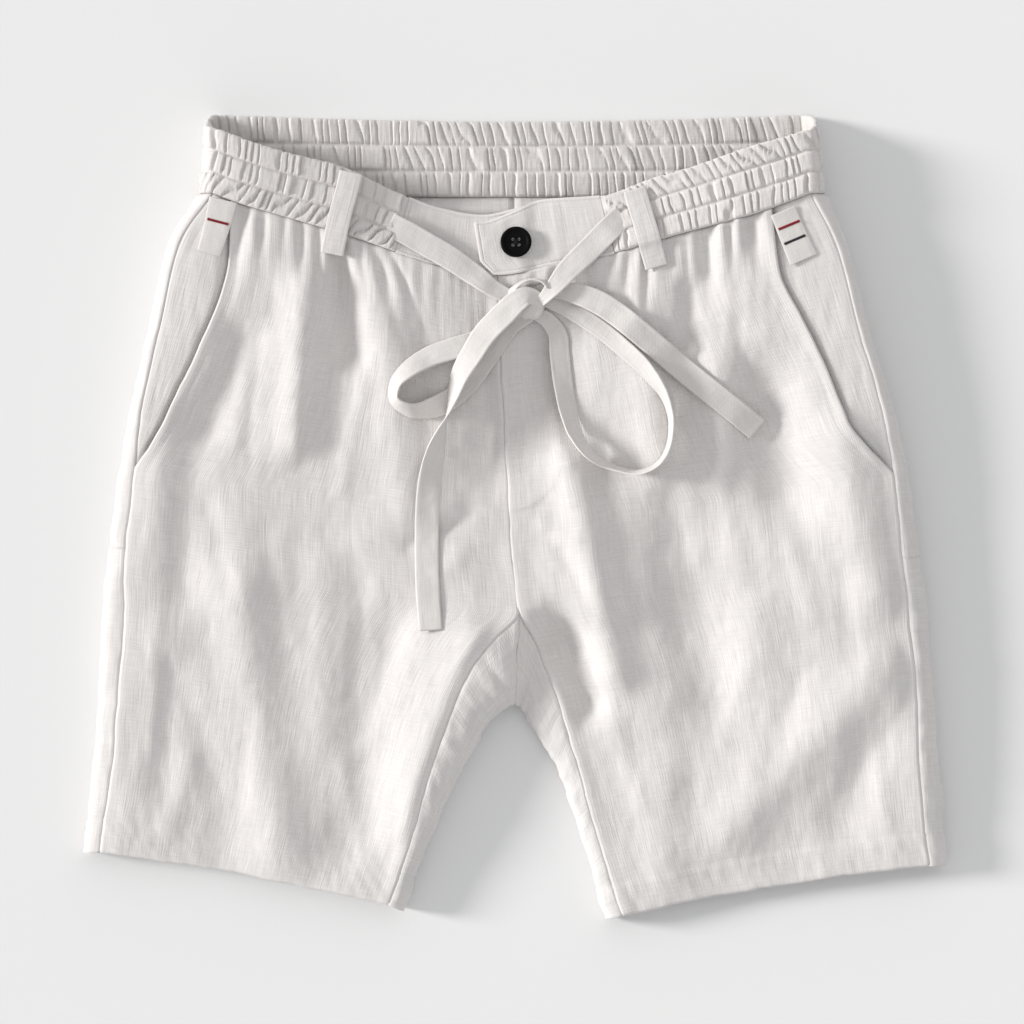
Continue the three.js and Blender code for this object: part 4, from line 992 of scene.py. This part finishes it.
def smooth_route(points, spacing):
    """Even stations on a smooth line through rows of (x, y, ...); all columns follow it."""
    points = np.asarray(points, float)
    chord = np.linalg.norm(np.diff(points[:, :2], axis=0), axis=1) ** 0.5
    knots = np.concatenate([[0], np.cumsum(chord)])
    slopes = np.diff(points, axis=0) / np.diff(knots)[:, None]
    inner = (slopes[:-1] * np.diff(knots)[1:, None] + slopes[1:] * np.diff(knots)[:-1, None]) / (
        np.diff(knots)[1:] + np.diff(knots)[:-1])[:, None]
    tangent = np.concatenate([slopes[:1], inner, slopes[-1:]])
    t = np.linspace(0, knots[-1], 3000)
    k = np.clip(np.searchsorted(knots, t, side="right") - 1, 0, len(points) - 2)
    width = (knots[k + 1] - knots[k])[:, None]
    s = (t[:, None] - knots[k][:, None]) / width
    place = ((1 + 2 * s) * (1 - s) ** 2 * points[k] + s * (1 - s) ** 2 * width * tangent[k]
             + s * s * (3 - 2 * s) * points[k + 1] + s * s * (s - 1) * width * tangent[k + 1])
    others = [np.interp(t, knots, column) for column in points[:, 2:].T]
    place[:, 2:] = np.stack(others, -1)
    walked = lengths_along(place[:, :2])
    count = max(2, int(round(walked[-1] / spacing)))
    at = np.linspace(0, walked[-1], count + 1)
    return np.stack([np.interp(at, walked, column) for column in place.T], -1)


def sides_of(route):
    """The level way across a route at each of its stations."""
    tangent = np.gradient(route[:, :2], axis=0)
    tangent /= np.maximum(np.linalg.norm(tangent, axis=1, keepdims=True), 1e-9)
    return np.stack([-tangent[:, 1], tangent[:, 0]], -1)


def soften(values, spread):
    """Rounds off the corners of a row of values."""
    reach = np.arange(-3 * spread, 3 * spread + 1)
    weight = np.exp(-(reach / spread) ** 2 / 2)
    padded = np.pad(values, 3 * spread, mode="edge")
    return np.convolve(padded, weight / weight.sum(), mode="valid")


def sew(name, runs, look, pitch=3.3, length=2.3, width=0.5, sink=0.12):
    """Rows of stitches as one mesh. A run is (points, ways up), both (n, 3)."""
    bm = bmesh.new()
    for points, ups in runs:
        points, ups = np.asarray(points, float), np.asarray(ups, float)
        walked = lengths_along(points)
        if walked[-1] < pitch:
            continue
        at = np.arange(pitch / 2, walked[-1], pitch)
        places = np.stack([np.interp(at, walked, c) for c in points.T], -1)
        ahead = np.stack([np.interp(at + 0.6, walked, c) for c in points.T], -1)
        behind = np.stack([np.interp(at - 0.6, walked, c) for c in points.T], -1)
        up = np.stack([np.interp(at, walked, c) for c in ups.T], -1)
        for place, along, normal in zip(to_metres(places - up * sink), ahead - behind, up):
            along = Vector(along).normalized()
            normal = Vector(normal).normalized()
            sideways = normal.cross(along).normalized()
            normal = along.cross(sideways)
            turn = Matrix((along * length / 2, sideways * width / 2, normal * width * 0.45)).transposed()
            matrix = Matrix.Translation(Vector(place)) @ (turn * MM).to_4x4()
            matrix[3][3] = 1
            bmesh.ops.create_icosphere(bm, subdivisions=1, radius=1, matrix=matrix)
    bmesh.ops.recalc_face_normals(bm, faces=bm.faces)
    return finish_piece(name, bm, look)


def on_cloth(cloth, xy):
    hits = [cloth.over(x, y) for x, y in xy]
    hits = [hit for hit in hits if hit]
    return np.array([h[0] for h in hits]), np.array([h[1] for h in hits])


def strap_cloth(rows, wall, spacing=1.0, arch=0.0):
    """A strip that lies on what it crosses. rows: x, y, lift, width."""
    route = smooth_route(rows, spacing)
    count = len(route)
    sideways = sides_of(route)
    shares = np.linspace(-1, 1, 15)
    points = np.zeros((count, len(shares), 3))
    heights = np.zeros((count, len(shares)))
    for k in range(count):
        for i, share in enumerate(shares):
            x, y = route[k, :2] + sideways[k] * share * route[k, 3] / 2
            points[k, i, :2] = x, y
            heights[k, i] = ground(x, y)
    crest = soften(heights.max(1), 3)
    crest = np.maximum(crest, heights.max(1) - 0.3)
    along = np.linspace(0, 1, count)
    rise = crest + route[:, 2] + wall / 2 + arch * np.sin(math.pi * along)
    points[..., 2] = rise[:, None]
    cloth = Cloth(points, outward=-1, wall=wall)
    near = (1 - np.abs(shares))[None, :] * route[:, 3][:, None] / 2
    cloth.points[..., 2] += -0.3 * bump(near - 1.7, 0.6) - 0.35 * np.exp(-near / 0.5)
    cloth.points[..., 2] += 0.12 * noise(points[..., 0] / 5, points[..., 1] / 7, 57) * smooth(near / 2)
    cloth.normals = normals_of(cloth.points, cloth.outward)
    cloth.edge = bump(near, 0.9)
    return cloth


# ---------------------------------------------------------------- camera and light
CAMERA_HEIGHT = 2.4
camera_data = bpy.data.cameras.new("camera")
camera_data.lens = 131.0
camera_data.sensor_width = 36
camera = add_object("camera", camera_data)
camera.location = (-0.0019, 0.0045, CAMERA_HEIGHT)
bpy.context.scene.camera = camera

bm = bmesh.new()
bmesh.ops.create_grid(bm, x_segments=2, y_segments=2, size=3)
floor = mesh_object("floor", bm)
FLOOR = Look("floor_pale", (0.81, 0.81, 0.81), 0.95)
floor.data.materials.append(FLOOR.material)

sun_data = bpy.data.lights.new("key", "SUN")
sun_data.energy = 3.5
sun_data.angle = math.radians(13)
sun_data.color = (1.0, 0.985, 0.965)
sun = add_object("key", sun_data)
SUN_HEIGHT, SUN_TURN = math.radians(18), math.radians(171)
toward = Vector((math.cos(SUN_HEIGHT) * math.cos(SUN_TURN), math.cos(SUN_HEIGHT) * math.sin(SUN_TURN),
                 math.sin(SUN_HEIGHT)))
sun.rotation_euler = toward.to_track_quat("Z", "Y").to_euler()
world = bpy.data.worlds.new("studio")
world.use_nodes = True
world.node_tree.nodes["Background"].inputs["Color"].default_value = (0.985, 0.99, 1.0, 1)
world.node_tree.nodes["Background"].inputs["Strength"].default_value = 0.69
bpy.context.scene.world = world
bpy.context.scene.view_settings.view_transform = "Standard"
bpy.context.scene.view_settings.look = "None"

# ---------------------------------------------------------------- panels, facings, waistband
fronts = {side: front_cloth(side) for side in (LEFT, RIGHT)}
backs = {side: back_cloth(side) for side in (LEFT, RIGHT)}
facings = {side: facing_cloth(side) for side in (LEFT, RIGHT)}
plain_band, tab = plain_band_cloth()
NAMES = {LEFT: "left", RIGHT: "right"}
pieces = {}
for side, word in NAMES.items():
    pieces["front", side] = fronts[side].make(f"front_cloth_{word}", LINEN, "linen", (f"front_{word}",))
    pieces["back", side] = backs[side].make(f"back_cloth_{word}", LINEN, "linen", (f"back_{word}",))
    pieces["facing", side] = facings[side].make(
        f"pocket_facing_{word}", LINEN, "linen", (f"side_pocket_{word}",))
band = make_band()
plain_piece = soften_edges(plain_band.make("waistband_plain", LINEN, "linen", ("waistband_front",)))
tab_piece = soften_edges(tab.make("waistband_button_tab", LINEN, "linen", ("waistband_tab",)))
band_ground = BandGround()
GROUND += [*fronts.values(), *facings.values(), plain_band, tab, band_ground]

# ---------------------------------------------------------------- straps and side tabs
STRAPS = {
    LEFT: [[-104, 219, 0.2, 14.5], [-107, 206, 0.3, 14.5], [-110.5, 193, 0.3, 14.5],
           [-113.5, 180, 0.3, 14.5], [-116.2, 167, 0.2, 14.5]],
    RIGHT: [[76.4, 208.5, 0.2, 14.5], [80, 196, 0.3, 14.5], [83.6, 183.5, 0.3, 14.5],
            [87, 171, 0.3, 14.5], [90.5, 158.8, 0.2, 14.5]],
}
SIDE_TABS = {
    LEFT: [[-185.0, 201.0, 0.2, 18], [-189.4, 184, 0.2, 16.5], [-194.4, 167.4, 0.2, 15]],
    RIGHT: [[170.6, 194.4, 0.2, 16.5], [177, 179, 0.2, 17.5], [183.8, 163.2, 0.2, 18.5]],
}
strap_cloths = {}
for side, word in NAMES.items():
    strap = strap_cloths["loop", side] = strap_cloth(STRAPS[side], 1.5, arch=0.5)
    pieces["loop", side] = soften_edges(
        strap.make(f"belt_strap_{word}", LINEN, "linen", (f"belt_loop_{word}",)), 0.0004)
    patch = strap_cloths["tab", side] = strap_cloth(SIDE_TABS[side], 1.0)
    pieces["tab", side] = soften_edges(
        patch.make(f"side_tape_{word}", TAPE, "tape", (f"side_tab_{word}",)), 0.0003)


def along_column(cloth, column):
    return cloth.face()[:, column], cloth.normals[:, column]


def along_row(cloth, row, first=0, last=None):
    return cloth.face()[row, first:last], cloth.normals[row, first:last]


runs = []
for key, cloth in strap_cloths.items():
    runs += [along_column(cloth, 2), along_column(cloth, -3)]
    runs += [along_row(cloth, 2, 1, -1), along_row(cloth, -3, 1, -1)]
    if key[0] == "loop":
        runs += [along_row(cloth, 3, 1, -1), along_row(cloth, -4, 1, -1)]
sew("stitches_straps", runs, THREAD, pitch=2.4, length=1.8, width=0.4)

runs = []
for side in (LEFT, RIGHT):
    front = fronts[side]
    y = np.linspace(44 if side == LEFT else 42, 166 if side == LEFT else 160, 160)
    mouth = np.stack([MOUTH[side](y) - side * 5.2, y], -1)
    runs.append(on_cloth(front, mouth))
    row = np.abs(front.from_hem[:, 64] - HEM_DEPTH).argmin()
    runs.append(along_row(front, row, 4, -4))
    back = backs[side]
    row = np.abs(back.from_hem[:, 10] - HEM_DEPTH).argmin()
    runs.append(along_row(back, row, 4, 31))
    row = np.abs(back.from_hem[:, -10] - HEM_DEPTH).argmin()
    runs.append(along_row(back, row, back.corner, -4))
FRONT_SEAM = ([-60, 24.6, 74.6, 124.5, 153.6], [2.9, -4.2, -7.4, -9.3, -10.6])  # x over y
fly = [(float(np.interp(y, *FRONT_SEAM)) + FLY_WIDTH - 1.2, y) for y in np.linspace(148, FLY_BEND, 60)]
turn = np.linspace(0, math.pi / 2, 40)
fly += [(-4.2 + (FLY_WIDTH - 1.2) * math.cos(a), FLY_BEND - 34 * math.sin(a)) for a in turn]
runs.append(on_cloth(fronts[RIGHT], fly))
sew("stitches_panels", runs, THREAD, pitch=3.2, length=2.3, width=0.42)

runs = [along_column(tab, 5), along_row(tab, 5, 5, None), along_row(tab, -6, 5, None),
        along_row(plain_band, 5), along_row(plain_band, -6)]
sew("stitches_waistband", runs, THREAD, pitch=3.0, length=2.2, width=0.42)


def thread_lines(name, side, shares, look):
    """Short embroidered lines across a side tab, at shares of its length."""
    cloth = strap_cloths["tab", side]
    lines = []
    for share in shares:
        row = int(share * (len(cloth.points) - 1))
        ends = cloth.face()[row, [1, -2]]
        t = np.linspace(0.02, 0.98, 24)[:, None]
        lines.append((mix(ends[0], ends[1], t), np.repeat(cloth.normals[row, 7:8], 24, 0)))
    return sew(name, lines, look, pitch=0.6, length=1.0, width=2.3, sink=0.15)


thread_lines("side_tape_left_line", LEFT, [0.42], RED)
thread_lines("side_tape_right_line", RIGHT, [0.32], RED)
thread_lines("side_tape_right_line_dark", RIGHT, [0.6], CHARCOAL)

# ---------------------------------------------------------------- button
BUTTON_PLACE = (1.0, 175.0)


def make_button():
    """Turned disc with a rim, a dished middle and four holes."""
    profile = [(0, -1.1), (8.9, -1.1), (9.7, -0.6), (10.0, 0.2), (9.8, 0.9), (9.2, 1.3), (8.4, 1.35),
               (7.6, 1.1), (7.0, 0.6), (6.0, 0.42), (3.0, 0.3), (0, 0.28)]
    bm = bmesh.new()
    verts = [bm.verts.new((r * MM, 0, z * MM)) for r, z in profile]
    edges = [bm.edges.new(pair) for pair in zip(verts, verts[1:])]
    bmesh.ops.spin(bm, geom=verts + edges, cent=(0, 0, 0), axis=(0, 0, 1), angle=2 * math.pi,
                   steps=64, use_merge=True)
    bmesh.ops.remove_doubles(bm, verts=bm.verts, dist=1e-6)
    bmesh.ops.recalc_face_normals(bm, faces=bm.faces)
    disc = mesh_object("disc", bm)
    cutter = bmesh.new()
    for k in range(4):
        angle = (k + 0.5) * math.pi / 2
        place = Matrix.Translation((2.6 * MM * math.cos(angle), 2.6 * MM * math.sin(angle), 0))
        bmesh.ops.create_cone(cutter, cap_ends=True, segments=20, radius1=1.2 * MM, radius2=1.2 * MM,
                              depth=6 * MM, matrix=place)
    cutter_object = mesh_object("cutter", cutter)
    holes = disc.modifiers.new("holes", "BOOLEAN")
    holes.object = cutter_object
    holes.operation = "DIFFERENCE"
    holes.solver = "EXACT"
    bpy.context.view_layer.update()
    cut_mesh = bpy.data.meshes.new_from_object(disc.evaluated_get(bpy.context.evaluated_depsgraph_get()))
    bm = bmesh.new()
    bm.from_mesh(cut_mesh)
    bpy.data.objects.remove(disc)
    bpy.data.objects.remove(cutter_object)
    x, y = BUTTON_PLACE
    under, normal = tab.over(x, y)
    turn = Vector((0, 0, 1)).rotation_difference(Vector(normal)).to_matrix().to_4x4()
    seat = Matrix.Translation(Vector(to_metres(under + normal * 1.5))) @ turn
    bmesh.ops.transform(bm, matrix=seat, verts=bm.verts)
    button = finish_piece("button_turned", bm, BUTTON, ("button",), smooth_faces=False)
    soften_edges(button, 0.00015)
    strands = bmesh.new()
    for k in range(2):
        for offset in (-0.35, 0.35):
            high = Matrix.Rotation(math.pi / 4 + k * math.pi / 2, 4, "Z")
            size = Matrix.Diagonal((2.9 * MM, 0.36 * MM, 0.4 * MM, 1))
            place = Matrix.Translation((0, offset * MM, (0.45 + 0.2 * k) * MM))
            bmesh.ops.create_icosphere(strands, subdivisions=2, radius=1, matrix=seat @ high @ place @ size)
    finish_piece("button_thread", strands, BLACK_THREAD)


make_button()

# ---------------------------------------------------------------- the flat tie
# x, y, lift above what it lies on, roll in degrees (0 flat, 90 on its edge), width
TIES = {
    LEFT: [
        [-80, 186.6, -3.4, 0, 15.5], [-74.5, 183.6, -2.2, 0, 15.5], [-68, 180.4, 0.2, 0, 15.5],
        [-57, 174, 0.7, 0, 15.5], [-41.7, 165.3, 0.8, -4, 15.5],
        [-26, 154.5, 0.9, -14, 14.5], [-14, 145.6, 1.6, -24, 12], [-2, 139.5, 2.4, -20, 9],
        [7, 135, 1.6, -10, 8], [3, 130.5, 1.2, 0, 8], [-8, 125, 1.8, 8, 10],
        [-24.7, 112.4, 1, 16, 13.5], [-39, 107.2, 0.8, 22, 15], [-53.4, 102, 0.8, 28, 15],
        [-66.5, 94, 0.8, 42, 15], [-75.6, 83.7, 0.8, 62, 14.5], [-76.3, 73.9, 0.8, 70, 14.5],
        [-66.5, 68, 0.8, 60, 14.5], [-55, 68.6, 0.8, 34, 14.5], [-45, 72.4, 0.6, 8, 14],
        [-33.8, 80.6, 0.5, 2, 13], [-23.4, 92, 0.5, 2, 12], [-12.9, 105.9, 0.5, 0, 11],
        [-1, 121, 0.6, 0, 9], [8, 127, 1.6, 0, 8], [15, 132.5, 3.2, 0, 7], [14.5, 138.2, 6.6, 6, 8.5],
        [8.6, 140.2, 8.8, 10, 12], [1.6, 136.8, 9.4, 8, 14.5],
        [-6, 129.6, 8.4, 10, 15.5], [-18.8, 116.4, 7.2, 16, 15.5], [-26.4, 104.6, 7.4, 24, 15.5],
        [-33.8, 91.5, 6.2, 38, 15.5], [-38.6, 78, 4.8, 60, 15.5], [-43.6, 63, 2.6, 88, 15.5],
        [-50, 42.6, 0.8, 136, 15.5], [-54.7, 17, 0.6, 166, 15.5], [-56, -15, 0.6, 180, 15.5],
        [-55.4, -47, 0.6, 180, 15.5], [-53.4, -72.6, 0.6, 180, 15],
    ],
    RIGHT: [
        [70, 192.6, -3.4, 0, 15.5], [64.5, 187.2, -2.2, 0, 15.5], [58, 180.8, 0.2, 0, 15.5],
        [48.5, 171.2, 0.6, 4, 15.5], [35.4, 158.2, 3.4, 12, 15],
        [26.5, 147.5, 7.0, 18, 12], [19.5, 139.6, 7.8, 16, 8], [15.2, 134.6, 4.6, 8, 5],
        [15, 129, 1.8, 0, 8.5], [20.4, 126, 0.8, 0, 10],
        [27.5, 116.4, 0.5, -4, 12.5], [28.9, 104.6, 0.4, -8, 13], [30.2, 91.5, 0.4, -14, 13],
        [32.1, 78.5, 0.4, -22, 13], [35, 64.1, 0.4, -36, 13], [39.4, 51, 0.4, -50, 13],
        [48, 39.5, 0.4, -62, 13], [63.7, 31, 0.4, -74, 13], [78.4, 28.2, 0.4, -78, 13],
        [90.6, 32.8, 0.4, -80, 12.5], [98, 44.5, 0.4, -80, 12.5], [99.8, 60.5, 0.4, -80, 12.5],
        [95, 77.1, 0.4, -70, 12.5], [84, 92.8, 0.4, -42, 12], [68, 108.4, 0.4, -14, 11.5],
        [55, 119.2, 0.4, -6, 11.5], [41.9, 128, 0.4, -2, 11.5], [29, 134.6, 0.6, 0, 10],
        [19, 138.5, 1.6, 0, 8.5], [12, 140.5, 3.0, 0, 8], [17, 143.6, 3.6, 0, 8.5],
        [27.4, 144.2, 3.6, 0, 10.5], [36, 142.6, 4, -4, 12.5], [46, 139.6, 4.6, -6, 14.5],
        [58, 133.6, 4.8, -6, 15.5], [77.2, 119, 4.4, -4, 15.5], [96.8, 102.6, 2.6, -2, 15.5],
        [118.7, 84.6, 0.8, 0, 15.5], [141.1, 66.9, 0.6, 0, 15.5], [155.2, 55.4, 0.6, 0, 15.5],
    ],
}


def ribbon_cloth(rows, seed):
    route = smooth_route(rows, 1.3)
    count = len(route)
    sideways = sides_of(route)
    roll = np.radians(soften(route[:, 3], 3))
    half = soften(route[:, 4], 3) / 2
    spread = np.abs(half * np.cos(roll))
    under = np.array([
        max(ground(*(route[k, :2] + sideways[k] * s * spread[k])) for s in (-1, -0.5, 0, 0.5, 1))
        for k in range(count)])
    height = soften(under, 3) + soften(route[:, 2], 2) + np.abs(half * np.sin(roll)) + TAPE_WALL / 2
    line = np.concatenate([route[:, :2], height[:, None]], 1)
    ahead = np.gradient(line, axis=0)
    ahead /= np.linalg.norm(ahead, axis=1, keepdims=True)
    flat = np.concatenate([sideways, np.zeros((count, 1))], 1)
    up = np.cross(ahead, flat)
    across = flat * np.cos(roll)[:, None] + up * np.sin(roll)[:, None]
    out = np.cross(ahead, across)
    shares = np.linspace(-1, 1, 13)
    points = line[:, None] + across[:, None] * (shares[None, :, None] * half[:, None, None])
    near = (1 - np.abs(shares))[None, :] * half[:, None]
    walked = lengths_along(line)[:, None]
    form = 0.12 * bump(near, 1.3) - 0.1 * bump(near - 2.2, 0.6)
    form = (form + 0.3 * noise(walked / 16, shares[None, :] * 0.8, seed)
            + 0.12 * noise(walked / 5, shares[None, :] * 2, seed + 1))
    points = points + out[:, None] * form[..., None]
    cloth = Cloth(points, outward=-1, wall=TAPE_WALL)
    cloth.edge = bump(near, 1.0)
    return cloth, line


def knot_mesh():
    """A turn of tape drawn tight round the crossing, and the small arch that it leaves on top."""
    centre = np.array([7.0, 134.4, 0])
    centre[2] = ground(centre[0], centre[1]) + 4.6
    lean = math.radians(-24)
    ahead = np.array([math.cos(lean), math.sin(lean), 0])  # along the wrapped tapes
    aside = np.array([-math.sin(lean), math.cos(lean), 0])
    rows, columns = 56, 22
    turn = np.linspace(0, 2 * math.pi, rows)[:, None]
    share = np.linspace(-1, 1, columns)[None, :]
    barrel = 1 - 0.34 * share ** 4
    pleats = 0.2 * np.sin(share * 7 + 0.8 * np.sin(turn)) * (1 - share ** 4)
    radius_side = (7.4 * barrel + pleats) * (1 + 0.08 * noise(share * 2, np.sin(turn) * 1.5, 301))
    radius_up = (4.0 * barrel + pleats) * (1 + 0.08 * noise(share * 2, np.cos(turn) * 1.5, 302))
    skew = 2.2 * np.sin(turn)
    points = (centre + ahead * (share * 9.2 + skew)[..., None]
              + aside * (np.cos(turn) * radius_side)[..., None]
              + np.array([0, 0, 1.0]) * (np.sin(turn) * radius_up)[..., None])
    wrap = Cloth(points, outward=1, wall=1.0)
    wrap.edge = bump((1 - np.abs(share)) * 9 + 0 * turn, 1.2)
    arch_rows = [[-3.5, 140, 2.4, -50, 8], [-0.8, 144.8, 2.2, -70, 8], [4.5, 149, 2, -80, 8],
                 [11, 150.8, 2, -84, 8], [17.5, 149.8, 2, -80, 8], [22, 146.4, 2.4, -60, 8]]
    return wrap, arch_rows


cords = {}
for side, word in NAMES.items():
    cords[side] = ribbon_cloth(TIES[side], 200 + side)
    nodes = tuple(f"tie_{word}_{part}" for part in ("lead", "loop", "tail"))
    pieces["tie", side] = cords[side][0].make(f"tie_{word}", TAPE, "tape", nodes)
wrap, arch_rows = knot_mesh()
knot = wrap.make("tie_knot_wrap", TAPE, "tape", ("tie_knot",))
arch, _ = ribbon_cloth(arch_rows, 230)
arch_piece = arch.make("tie_knot_arch", TAPE, "tape")

# ---------------------------------------------------------------- size of every sheet's cut
# In metres: an estimate of the rectangle that each cut piece fits in, set with the modelled
# cloth. Areas are the modelled cloth's, in square metres.
SHEETS = [
    (pieces["front", LEFT], "laid", (0.262, 0.478), 0.094, ["back_cloth_left"]),
    (pieces["front", RIGHT], "laid", (0.268, 0.478), 0.098, ["back_cloth_right"]),
    (pieces["back", LEFT], "laid", (0.33, 0.488), 0.132, []),
    (pieces["back", RIGHT], "laid", (0.33, 0.488), 0.132, []),
    (pieces["facing", LEFT], "laid", (0.052, 0.186), 0.0062, ["back_cloth_left"]),
    (pieces["facing", RIGHT], "laid", (0.056, 0.182), 0.007, ["back_cloth_right"]),
    (plain_piece, "laid", (0.076, 0.05), None, ["front_cloth_left"]),
    (tab_piece, "laid", (0.084, 0.05), 0.0037, ["waistband_plain"]),
]
for side, word in NAMES.items():
    SHEETS += [(pieces["loop", side], "laid", (0.0145, 0.055), None, ["waistband_gathered"]),
               (pieces["tab", side], "laid", (0.017, 0.035), None, [f"pocket_facing_{word}"])]
